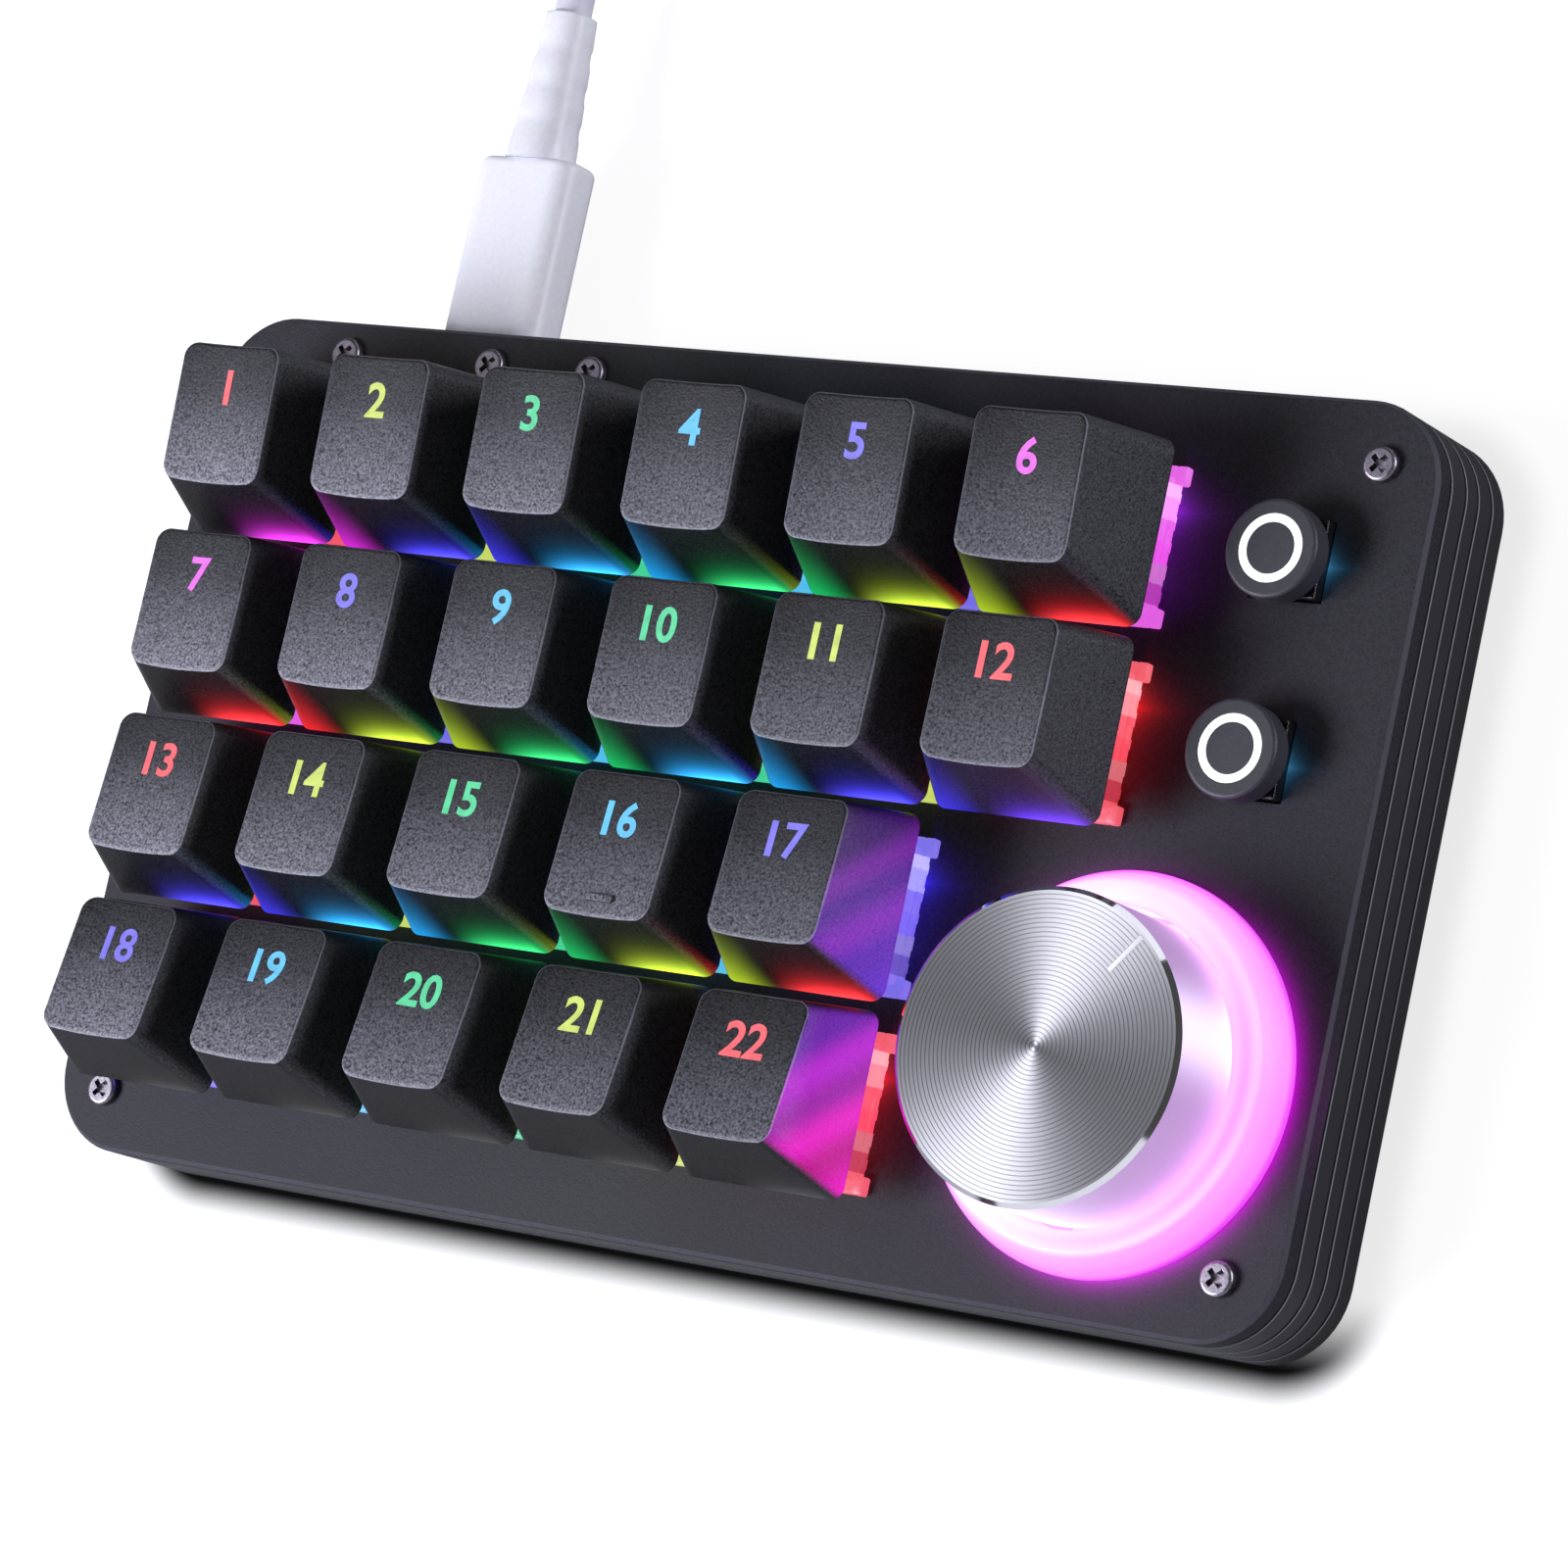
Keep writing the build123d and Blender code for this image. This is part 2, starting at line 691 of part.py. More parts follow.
shaft_top = shell_roof_z - knob_insert_clearance
with BuildPart() as encoder_shaft:
    with BuildSketch(Plane.XY.offset(collar_bottom)):
        with Locations(knob_centre):
            Circle(shaft_collar_radius)
    extrude(amount=shaft_collar_height)
    with BuildSketch(Plane.XY.offset(collar_bottom)):
        with Locations(knob_centre):
            Circle(shaft_radius)
    extrude(amount=shaft_top - collar_bottom)
    with BuildSketch(Plane.XY.offset(shaft_top)):
        with Locations((knob_centre[0] + 2 * shaft_radius - shaft_flat_depth, knob_centre[1])):
            Rectangle(2 * shaft_radius, 2 * shaft_radius)
    extrude(amount=-shaft_flat_length, mode=Mode.SUBTRACT)
save(encoder_shaft.part, "encoder_shaft")

with BuildPart() as encoder_plunger:
    with BuildSketch(Plane.XY.offset(plunger_bottom)):
        with Locations(knob_centre):
            Circle(plunger_radius)
    extrude(amount=plunger_height - plunger_clearance)
save(encoder_plunger.part, "encoder_plunger")

# Knob insert: plastic core that grips the shaft's flat
insert_radius = shell_bore_radius - knob_insert_clearance
hub_bottom = bushing_top + knob_hub_clearance
insert_bore_radius = shaft_radius + knob_insert_clearance
flat_x = shaft_radius - shaft_flat_depth + knob_insert_clearance
with BuildPart() as knob_insert:
    with BuildSketch(Plane.XY.offset(hub_bottom)):
        with Locations(knob_centre):
            Circle(insert_radius)
            Circle(insert_bore_radius, mode=Mode.SUBTRACT)
    extrude(amount=shell_roof_z - hub_bottom)
    with BuildSketch(Plane.XY.offset(shell_roof_z)):
        with Locations(knob_centre):
            Circle(insert_bore_radius)
        with Locations((knob_centre[0] + flat_x - 2 * shaft_radius, knob_centre[1])):
            Rectangle(4 * shaft_radius, 4 * shaft_radius, mode=Mode.SUBTRACT)
    extrude(amount=-shaft_flat_length + 2 * knob_insert_clearance)
save(knob_insert.part, "knob_insert")

# Push buttons
button_body_top = plate_top + button_body_rise
cap_top_z = plate_top + button_cap_top
cap_bottom_z = cap_top_z - button_cap_thickness
stem_bottom_z = plate_top - button_stem_depth
dome_height = button_travel + dome_flat_height
button_well_z = stem_bottom_z - dome_clearance - dome_height
with BuildPart() as button_bodies:
    with BuildSketch(Plane.XY.offset(board_top)):
        with Locations(*button_centres.values()):
            Rectangle(button_body_width, button_body_width)
    extrude(amount=button_body_top - board_top)
    with BuildSketch(Plane.XY.offset(button_well_z)):
        with Locations(*button_centres.values()):
            Circle(button_stem_radius + button_stem_clearance)
    extrude(amount=button_body_top - button_well_z, mode=Mode.SUBTRACT)
save(button_bodies.part, "button_bodies")

# Snap domes under the caps' stems
dome_ball_radius = (dome_radius**2 + dome_height**2) / (2 * dome_height)
with BuildPart() as dome:
    with BuildSketch(Plane.XZ):
        with Locations((0, dome_height - dome_ball_radius)):
            Circle(dome_ball_radius)
            Circle(dome_ball_radius - dome_wall, mode=Mode.SUBTRACT)
        Rectangle(dome_radius, dome_height, align=Align.MIN, mode=Mode.INTERSECT)
    revolve(axis=Axis.Z)

for name, (x, y) in button_centres.items():
    cap_groove_z = cap_top_z - lens_depth
    with BuildPart() as button_cap:
        with BuildSketch(Plane.XY.offset(cap_bottom_z)):
            with Locations((x, y)):
                Circle(button_cap_radius)
        extrude(amount=cap_top_z - cap_bottom_z)
        fillet(button_cap.faces().sort_by(Axis.Z)[-1].edges(), button_cap_rounding)
        with BuildSketch(Plane.XY.offset(stem_bottom_z)):
            with Locations((x, y)):
                Circle(button_stem_radius)
        extrude(amount=cap_bottom_z - stem_bottom_z)
        with BuildSketch(Plane.XY.offset(cap_groove_z)):
            with Locations((x, y)):
                Circle(lens_outer_radius + lens_clearance)
                Circle(lens_inner_radius - lens_clearance, mode=Mode.SUBTRACT)
        extrude(amount=lens_depth, mode=Mode.SUBTRACT)
    save(button_cap.part, f"button_cap_{name}")
    with BuildPart() as button_lens:
        with BuildSketch(Plane.XY.offset(cap_groove_z)):
            with Locations((x, y)):
                Circle(lens_outer_radius)
                Circle(lens_inner_radius, mode=Mode.SUBTRACT)
        extrude(amount=lens_depth)
    save(button_lens.part, f"button_lens_{name}")

with BuildPart() as button_domes:
    with Locations(*[(x, y, button_well_z) for x, y in button_centres.values()]):
        add(dome.part)
save(button_domes.part, "button_domes")

# Cable socket under the board's back edge
socket_z = board_bottom - socket_height / 2
socket_mouth = half_depth - socket_recess
socket_inner_height = socket_height - 2 * socket_wall
socket_inner_width = socket_width - 2 * socket_wall


def back_plane(y):
    """Upright plane at one depth, with its own +Z to the back and +Y up, on the port's axis."""
    return Plane((port_x, y, socket_z), x_dir=(-1, 0, 0), z_dir=(0, 1, 0))


with BuildPart() as usb_socket:
    with BuildSketch(back_plane(socket_mouth)):
        SlotOverall(socket_width, socket_height)
    extrude(amount=-socket_depth)
    with BuildSketch(back_plane(socket_mouth)):
        SlotOverall(socket_inner_width, socket_inner_height)
    extrude(amount=socket_wall - socket_depth, mode=Mode.SUBTRACT)
save(usb_socket.part, "usb_socket")

# Plug: metal tongue in the socket, moulded grip behind the case, tapered strain relief
plug_front = half_depth + plug_stand_off
plug_end = plug_front + plug_length
relief_end = plug_end + relief_length
tongue_width = socket_inner_width - 2 * tongue_clearance
tongue_tip = socket_mouth - socket_depth + socket_wall + socket_recess
with BuildPart() as plug_tongue:
    with BuildSketch(back_plane(plug_front)):
        SlotOverall(tongue_width, tongue_height)
    extrude(amount=tongue_tip - plug_front)
    with BuildSketch(back_plane(tongue_tip)):
        SlotOverall(tongue_width - 2 * tongue_wall, tongue_height - 2 * tongue_wall)
    extrude(amount=socket_depth / 2, mode=Mode.SUBTRACT)
save(plug_tongue.part, "plug_tongue")

with BuildPart() as usb_plug:
    with BuildSketch(back_plane(plug_front)):
        RectangleRounded(plug_width, plug_height, plug_edge_radius)
    extrude(amount=plug_length)
    fillet(usb_plug.faces().sort_by(Axis.Y)[-1].edges(), plug_end_fillet)
save(usb_plug.part, "usb_plug")

with BuildPart() as strain_relief:
    with BuildSketch(back_plane(plug_end)):
        Circle(relief_width / 2)
    with BuildSketch(back_plane(relief_end)):
        Circle(relief_end_width / 2)
    loft(ruled=True)
save(strain_relief.part, "strain_relief")

# Coil: flat two-centre spirals piled in layers, each climb a half turn where the spiral reverses
layer_shrink = half_turns_per_layer * coil_turn_pitch / 2
coil_outer_radius = coil_mean_radius + layer_shrink / 2
coil_inner_radius = coil_mean_radius - layer_shrink / 2
coil_floor_z = tie_thickness + tie_clearance + cable_radius
coil_centre = (port_x + coil_side_offset, half_depth + coil_back_offset)
coil_top = coil_floor_z + (coil_layers - 1) * coil_layer_pitch + cable_radius
far_plug_z = coil_top + far_plug_rest_gap + far_plug_height / 2


def coil_crossings():
    """Signed crossing radius and height at the end of each half turn, from the entry to the plug."""
    radius = coil_outer_radius
    height = coil_floor_z
    side = 1
    step = -coil_turn_pitch / 2
    crossings = [(side * radius, height)]
    for layer in range(coil_layers):
        for _ in range(half_turns_per_layer):
            radius += step
            side = -side
            crossings.append((side * radius, height))
        height += coil_layer_pitch
        side = -side
        crossings.append((side * radius, height))
        step = -step
    side = -side
    crossings.append((side * coil_tail_radius, far_plug_z))
    return crossings


def coil_arcs():
    """Start, middle and end of each half turn in the coil's own frame."""
    crossings = coil_crossings()
    arcs = []
    for (x0, z0), (x1, z1) in zip(crossings, crossings[1:]):
        bulge = dist((x0, z0), (x1, z1)) / 2
        bulge_side = 1 if x0 > 0 else -1
        middle = ((x0 + x1) / 2, bulge_side * bulge, (z0 + z1) / 2)
        arcs.append(((x0, 0, z0), middle, (x1, 0, z1)))
    return arcs


def in_coil(point):
    """A point of the coil's own frame, placed beside the keypad."""
    return (point[0] + coil_centre[0], point[1] + coil_centre[1], point[2])


arcs = coil_arcs()
coil_start = in_coil(arcs[0][0])
tail_start = in_coil(arcs[-1][2])
tail_direction = 1 if arcs[-1][2][0] > 0 else -1
tail_end = (tail_start[0], tail_start[1] + tail_direction * 2 * cable_radius, tail_start[2])

with BuildPart() as cable_coil:
    with BuildLine() as coil_line:
        lead_in = (coil_start[0], coil_start[1] - 2 * cable_radius, coil_start[2])
        Line(lead_in, coil_start)
        for arc in arcs:
            ThreePointArc(*[in_coil(point) for point in arc])
        Line(tail_start, tail_end)
    with BuildSketch(Plane(lead_in, x_dir=(1, 0, 0), z_dir=(0, 1, 0))):
        Circle(cable_radius)
    sweep()
save(cable_coil.part, "cable_coil")

# Free stretch of the cable, from the strain relief to the coil
cable_route = [
    (port_x, relief_end, socket_z),
    (port_x, relief_end + cable_straight, socket_z),
    *[(port_x + aside, relief_end + along, height) for aside, along, height in cable_bends],
    (lead_in[0], lead_in[1] - coil_lead_run, lead_in[2]),
    lead_in,
]


def route_radii(points):
    """Largest bend radius that each corner's two runs allow."""
    radii = []
    for before, corner, after in zip(points, points[1:], points[2:]):
        arriving = Vector(*corner) - Vector(*before)
        leaving = Vector(*after) - Vector(*corner)
        turn = radians(arriving.get_angle(leaving))
        radii.append(0.45 * min(arriving.length, leaving.length) / tan(turn / 2))
    return radii


cable_radii = route_radii(cable_route)
with BuildPart() as cable:
    with BuildLine() as cable_line:
        FilletPolyline(*cable_route, radius=cable_radii)
    with BuildSketch(back_plane(relief_end)):
        Circle(cable_radius)
    sweep()
save(cable.part, "cable")

# Far plug on top of the coil, with its metal shell
far_plane = Plane(tail_end, x_dir=(1, 0, 0), z_dir=(0, tail_direction, 0))
with BuildPart() as far_plug:
    with BuildSketch(far_plane):
        RectangleRounded(far_plug_width, far_plug_height, far_plug_edge_radius)
    extrude(amount=far_plug_length)
save(far_plug.part, "far_plug")

far_shell_plane = far_plane.offset(far_plug_length)
with BuildPart() as far_plug_shell:
    with BuildSketch(far_shell_plane):
        Rectangle(far_shell_width, far_shell_height)
    extrude(amount=far_shell_length)
    with BuildSketch(far_shell_plane.offset(far_shell_wall)):
        Rectangle(far_shell_width - 2 * far_shell_wall, far_shell_height - 2 * far_shell_wall)
    extrude(amount=far_shell_length, mode=Mode.SUBTRACT)
save(far_plug_shell.part, "far_plug_shell")

# Tie round the piled turns, with the coil lying on its lower strap
tie_reach = coil_inner_radius - cable_radius
tie_low = (tie_reach**2 - (tie_width / 2) ** 2) ** 0.5 - tie_clearance
tie_high = coil_outer_radius + cable_radius + tie_clearance
tie_opening = coil_top + tie_clearance - tie_thickness
tie_plane = Plane((*coil_centre, tie_thickness), x_dir=(0, 1, 0), z_dir=(1, 0, 0))
with BuildPart() as cable_tie:
    with BuildSketch(tie_plane):
        with Locations(((tie_low + tie_high) / 2, tie_opening / 2)):
            RectangleRounded(
                tie_high - tie_low + 2 * tie_thickness,
                tie_opening + 2 * tie_thickness,
                tie_corner_radius + tie_thickness,
            )
            RectangleRounded(tie_high - tie_low, tie_opening, tie_corner_radius, mode=Mode.SUBTRACT)
    extrude(amount=tie_width / 2, both=True)
save(cable_tie.part, "cable_tie")


def least_gap(wire, samples, skip):
    """Least clear gap between stretches of one tube that lie more than skip along it apart."""
    step = wire.length / samples
    points = [tuple(wire @ (i / samples)) for i in range(samples + 1)]
    apart = int(skip / step)
    gaps = [
        dist(points[i], points[j])
        for i in range(samples + 1)
        for j in range(i + apart, samples + 1)
    ]
    return min(gaps) - 2 * cable_radius


coil_wire = coil_line.wire()
cable_wire = cable_line.wire()
section_area = pi * cable_radius**2
print("cable bend radii", [round(radius, 1) for radius in cable_radii])
print("cable length", round(cable_wire.length + coil_wire.length, 1))
print("coil least gap", round(least_gap(coil_wire, coil_gap_samples, 2 * coil_inner_radius), 2))
print("tube volumes over section times length", [
    round(tube.part.volume / (section_area * wire.length), 4)
    for tube, wire in ((cable, cable_wire), (cable_coil, coil_wire))
])
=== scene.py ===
import math

import bmesh
import bpy
from mathutils import Color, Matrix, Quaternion, Vector


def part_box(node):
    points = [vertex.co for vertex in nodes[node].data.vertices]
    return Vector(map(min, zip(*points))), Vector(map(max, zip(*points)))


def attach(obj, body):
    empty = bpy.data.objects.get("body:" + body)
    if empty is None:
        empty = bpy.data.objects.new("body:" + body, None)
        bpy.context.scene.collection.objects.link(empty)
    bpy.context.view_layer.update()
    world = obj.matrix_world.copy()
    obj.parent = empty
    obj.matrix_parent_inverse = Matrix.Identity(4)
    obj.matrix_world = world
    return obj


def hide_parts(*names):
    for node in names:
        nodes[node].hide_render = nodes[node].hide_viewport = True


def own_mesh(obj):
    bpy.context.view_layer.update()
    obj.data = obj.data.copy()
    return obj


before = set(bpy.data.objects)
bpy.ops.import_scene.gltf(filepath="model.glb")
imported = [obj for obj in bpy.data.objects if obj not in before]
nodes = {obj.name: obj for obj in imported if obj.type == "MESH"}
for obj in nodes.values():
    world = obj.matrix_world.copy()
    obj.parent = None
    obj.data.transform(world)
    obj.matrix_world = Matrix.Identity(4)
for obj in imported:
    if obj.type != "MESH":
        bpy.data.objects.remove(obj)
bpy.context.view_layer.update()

# All sizes are in metres, in the part's own frame: +X right, +Y back, +Z up, the desk at z 0.
# Colours are display values from 0 to 255. A span is the pair of places that a smooth step runs between.

# Key grid and keycaps
key_pitch = 0.01905
row_key_counts = (6, 6, 5, 5)
keys = [(row, column) for row, count in enumerate(row_key_counts) for column in range(count)]
rows = range(len(row_key_counts))
first_key = (-0.05675, 0.028675)
last_key_x = first_key[0] + (row_key_counts[0] - 1) * key_pitch
plate_top = 0.0164
skirt_bottom = 0.0226
keycap_half_base = 0.0091
keycap_top_back = 0.0083
keycap_top_front = -0.0057
back_heights = (0.0115, 0.0092, 0.0082, 0.0076)
front_heights = (0.0108, 0.0094, 0.0097, 0.0103)
dish_sag = 0.0007
dish_half_width = 0.00635

# Numerals on the keycaps
numeral_height = 0.0036
numeral_back_inset = 0.0044
numeral_boldness = 0.022
numeral_lift = 0.00002
numeral_depth = 0.00004
numeral_slice = 0.0004

# Switch housings: slab, corner blocks, ribs that are narrow and wide by turns, tapered body
flange_half = 0.0078
flange_thickness = 0.001
flange_corner_length = 0.0018
housing_half = 0.007
housing_top_half = 0.0054
housing_height = 0.0066
housing_well = (0.0036, 0.00295)
housing_edge = 0.0006
housing_round = 0.0002
housing_step = 0.0003
block_overlap = 0.0004
block_edge = 0.00022
rib_count = 5
rib_reach = 0.0001
rib_edge = 0.00012
rib_shares = (0.22, 0.30)
rib_drops = (0.0003, 0.0)

# Springs in the switches and snap domes under the buttons
spring_radius = 0.002
spring_wire_radius = 0.0002
spring_turns = 6
steps_per_turn = 20
wire_sides = 8
dome_radius = 0.0022
dome_wall = 0.00025
dome_steps = 6
dome_segments = 32

# Knob
knob_centre = (0.0505, -0.021325)
knob_radius = 0.0149
knob_bottom = 0.0194
knob_top = 0.0307
knob_chamfer = 0.00045
knob_foot_edge = 0.0003
knob_wall = 0.0022
knob_face_thickness = 0.0016
knob_segments = 180
knob_face_radius = knob_radius - knob_chamfer
groove_count = 32
groove_depth = 0.000016
groove_share = 0.30
groove_margin = 0.0003
groove_pitch = (knob_face_radius - groove_margin) / (groove_count + groove_share)
groove_profile = ((0.0, 0.0), (0.3, 1.0), (0.7, 1.0), (1.0, 0.0))
pointer_length = 0.0044
pointer_width = 0.0005
pointer_thickness = 0.00006
pointer_inset = 0.0002
pointer_angle = math.radians(52.0)

# Case outline, and the seams between its layers with a painted highlight on the edge under each
case_half = (0.07225, 0.044525)
case_corner = 0.0085
seam_heights = (0.0051, 0.0081, 0.0107, 0.0139)
seam_half_width = 0.0002
seam_edge_drop = 0.0003
seam_edge_half_width = 0.0001
seam_edge_highlight = (128, 128, 132)
seam_softness = 0.3
seam_darkness = 0.95

# Light ring
ring_bore = 0.0153
ring_outer = 0.01925

# Strain relief: ringed sleeve from the plug to the cable
relief_start = 0.064825
relief_length = 0.016
relief_radius = 0.0037
relief_end_radius = 0.0027
relief_ring_count = 3
relief_first_ring = 0.75
relief_groove = 0.00012
relief_groove_profile = ((0.0, 0.0), (0.12, 1.0), (0.38, 1.0), (0.5, 0.0))
relief_segments = 40

# Cable: the free stretch's points, then the coil
cable_radius = 0.002
cable_route = (
    (-0.0433, 0.080825, 0.00817),
    (-0.0433, 0.092825, 0.00817),
    (-0.0440, 0.107025, 0.0054),
    (-0.0463, 0.122025, 0.0025),
    (-0.0470, 0.1352, 0.0031),
    (-0.0470, 0.1480, 0.0031),
)
coil_centre = (-0.074, 0.152)
coil_outer_radius = 0.027
coil_turn_pitch = 0.0054
coil_layer_pitch = 0.0047
coil_layers = 4
half_turns_per_layer = 4
coil_floor = 0.0031
coil_tail_radius = 0.012
coil_tail_height = 0.0256
coil_tail_run = 0.004
points_per_half_turn = 8

# Tie strap round the coil's turns, with its doubled end on top
tie_thickness = 0.0008
tie_half_width = 0.004
tie_corner = 0.002
tie_edge = tie_thickness / 3
tie_tab_length = 0.009
tie_tab_half_width = 0.92 * tie_half_width
tie_tab_sunk = 0.25 * tie_thickness
tie_tab_rise = 0.8 * tie_thickness
tie_thread = 0.0007

# Camera: where it stands, the plate's point in the middle of the picture, its tilt and lens
camera_place = (0.32799, -0.07270, 0.49334)
camera_target = (0.00830, 0.00192, 0.01640)
camera_roll = math.radians(-67.12)
camera_lens = 137.21
camera_sensor = 36.0
camera_clip = (0.01, 20.0)

# Noise that all materials share
noise_low = 0.3
noise_high = 0.7
noise_detail = 3.0
noise_roughness = 0.6
mottle_detail = 2.0
mottle_swing = 0.16
bevel_samples = 4
edge_softness = (0.08, 0.04)

# Lights under the keys: a rainbow that runs to the right along the first row, back along the second, and on
rainbow = ((245, 60, 75), (200, 220, 70), (5, 210, 140), (50, 190, 240), (100, 90, 235), (230, 70, 230))
led_colours = [
    rainbow[:count] if row % 2 == 0 else rainbow[:count][::-1] for row, count in enumerate(row_key_counts)
]

# Plate: painted highlights on its edges, then painted light from each row's last key, from the buttons' edges
# and from the ring
plate_edge_facing = (0.55, 0.88)
plate_edge_highlight = (58, 57, 63)
light_edge = 0.0004
spill_colours = ((150, 20, 230), (255, 16, 16), (50, 30, 255), (255, 20, 40))
spill_reach = 0.0013
spill_back = 0.0036
spill_level = 0.75
spill_wash_reach = 2.0 * spill_reach
spill_wash_span = (1.1 * flange_half, 0.4 * flange_half)
spill_wash_level = 0.09
button_rows = (0, 1)
button_edge_x = 0.0624
button_light_shift = -0.0004
button_light_reach = 0.001
button_light_colour = (60, 140, 190)
button_light_level = 0.7
halo_colour = (205, 0, 215)
halo_reach = 0.0008
halo_aim = math.radians(-32.0)
halo_span = (-0.3, 1.0)
halo_least = 0.12
halo_gain = 0.8

# Keycap painted light and shade: the top's painted light from front to back and at both ends of a row, the
# right and front faces' painted shade, and the painted highlight on the tops' edges
painted_top_light = ((0.0, 1.0), (0.20, 1.0), (0.45, 0.62), (0.70, 0.24), (0.95, 0.10), (1.0, 0.10))
painted_top_levels = (4.6, 2.4)
top_facing = (0.35, 0.7)
right_facing = (0.3, 0.8)
right_face_shade = 0.8
front_face_shade = 0.2
keycap_edge_facing = (0.52, 0.82)
keycap_edge_highlight = (112, 112, 120)

# Light on the keycaps' front faces: spans across a key, the height that it fades over, and its level
front_facing = (0.45, 0.85)
front_middle = (((-0.35, 0.45), (0.98, 0.72)), 0.0012, 3.0)
front_spread = (((-0.6, 0.5), (0.95, 0.7)), 0.003, 0.10)
front_left = (((-0.25, -0.85),), 0.006, 1.0)
front_white = 0.025
front_gamma = 1.7
corner_front_facing = ((0.15, 0.5), (0.95, 0.7))
corner_right_facing = (0.2, 0.5)
corner_reach = 0.0024
corner_level = 0.25
no_light = (0, 0, 0)
ring_violet = (120, 30, 220)
ring_dim = (30, 4, 50)
front_rows = (
    led_colours[1],
    (*led_colours[2], ring_violet),
    led_colours[3],
    (*(no_light,) * 4, ring_dim),
)

# Light of the ring on the right faces beside it, in slanting bands
side_facing = (0.4, 0.9)
side_start = 0.004
side_slope = 0.75
side_length = 0.026
side_middle = 0.66
violet_bands = (
    (0.0, (12, 2, 24)), (0.30, (50, 8, 96)), (0.42, (104, 14, 150)), (0.52, (72, 8, 140)),
    (0.66, (118, 16, 176)), (0.78, (80, 14, 170)), (1.0, (86, 24, 200)),
)
magenta_bands = (
    (0.0, (40, 0, 80)), (0.28, (96, 2, 160)), (0.42, (176, 4, 200)), (0.54, (150, 0, 160)),
    (0.68, (226, 4, 190)), (0.80, (190, 0, 140)), (1.0, (240, 10, 200)),
)
side_bands = (None, None, violet_bands, magenta_bands)

# Light through the numerals
numeral_patches = 900.0
numeral_level = 0.70
numeral_swing = 0.5
numeral_white = 0.10

# Bands of light along a housing from its front: where each starts, its share of the colour and of white
housing_bands = (
    (0.0, 0.85, 0.05), (0.13, 0.55, 0.0), (0.26, 0.60, 0.10), (0.38, 1.0, 0.0), (0.52, 0.95, 0.03),
    (0.66, 1.0, 0.20), (0.80, 1.0, 0.34), (0.88, 0.85, 0.06),
)

# Knob: brushing, painted shade on the floors of the grooves, and the ring's light on the side
brushing = 0.82
brushing_turn = 0.25
groove_shade_softness = (0.05, 0.1)
groove_shade_darkness = 0.38
knob_side_light = (194, 136, 220)
knob_side_level = 0.5

# Light ring: tones from its bore to its outer edge, far from the halo's side and near it
ring_pale = (
    (0.0, (255, 184, 255)), (0.15, (255, 204, 255)), (0.50, (255, 192, 255)), (0.80, (255, 148, 255)),
    (0.95, (240, 96, 240)), (1.0, (180, 30, 192)),
)
ring_deep = (
    (0.0, (255, 160, 255)), (0.25, (255, 134, 255)), (0.52, (255, 164, 255)), (0.64, (255, 124, 255)),
    (0.93, (240, 96, 240)), (1.0, (180, 24, 192)),
)
ring_deep_span = (-0.6, 0.95)
ring_patches = 160.0
ring_level = 1.30
ring_swing = 0.24
under_ring_colour = (255, 190, 255)
under_ring_softness = 0.0005
lens_level = 0.9

# Floor: its own tone, its white to the eye, and how both fall off in a painted shadow close to the case
floor_size = 6.0
floor_tone = (150, 150, 152)
floor_roughness = 0.9
floor_specular = 0.1
floor_lift = 0.9
floor_far = (0.3, 0.6)
floor_contact_span = (0.0045, 0.0002)
floor_side_shade = 0.15
floor_under = (-0.0015, -0.003)

# Studio lamps, a little cool: name, place, size and power; and the room's own light
lamp_tint = (0.88, 0.885, 1.0)
panels = (
    ("key_panel", (-0.62, -0.40, 0.76), (0.55, 0.45), 15.0),
    ("top_panel", (-0.70, 0.17, 1.08), (0.9, 0.9), 1.5),
    ("right_panel", (0.64, 0.28, 0.09), (0.40, 0.13), 2.8),
    ("front_panel", (0.20, -1.00, 0.38), (2.8, 0.6), 4.2),
    ("back_panel", (0.17, 0.98, 0.26), (0.65, 0.35), 0.7),
)
world_level = 0.06


# Objects in the scene, and the camera
def add_object(name, data):
    """A new object in the scene."""
    made = bpy.data.objects.new(name, data)
    bpy.context.scene.collection.objects.link(made)
    return made


def add_aimed(name, data, place, target, roll=0.0):
    """A new camera or lamp that looks at a point, turned about its line of sight."""
    made = add_object(name, data)
    made.location = place
    made.rotation_mode = "QUATERNION"
    aim = (Vector(target) - Vector(place)).to_track_quat("-Z", "Y")
    made.rotation_quaternion = aim @ Quaternion((0, 0, 1), roll)
    return made


def make_camera():
    """The photograph's camera, tipped about its own axis so that the keypad's back points up."""
    data = bpy.data.cameras.new("camera")
    data.sensor_width = camera_sensor
    data.lens = camera_lens
    data.clip_start, data.clip_end = camera_clip
    bpy.context.scene.camera = add_aimed("camera", data, camera_place, camera_target, camera_roll)


make_camera()


# Colours and the nodes of materials
def shade(red, green, blue):
    """A display colour as the linear colour that shaders take."""
    linear = Color((red / 255, green / 255, blue / 255)).from_srgb_to_scene_linear()
    return (*linear, 1.0)


def shades(stops):
    """Ramp stops whose display colours are made linear."""
    return [(place, shade(*colour)) for place, colour in stops]


black = (0.0, 0.0, 0.0, 1.0)
white = (1.0, 1.0, 1.0, 1.0)


class Value:
    """What a material's nodes work out at each point. Plain sums on it add the nodes that they need."""

    def __init__(self, net, socket):
        self.net = net
        self.socket = socket

    def __add__(self, other):
        return self.net.sum("ADD", self, other)

    def __sub__(self, other):
        return self.net.sum("SUBTRACT", self, other)

    def __rsub__(self, other):
        return self.net.sum("SUBTRACT", other, self)

    def __mul__(self, other):
        return self.net.sum("MULTIPLY", self, other)

    def __truediv__(self, other):
        return self.net.sum("DIVIDE", self, other)

    def __abs__(self):
        return self.net.sum("ABSOLUTE", self)


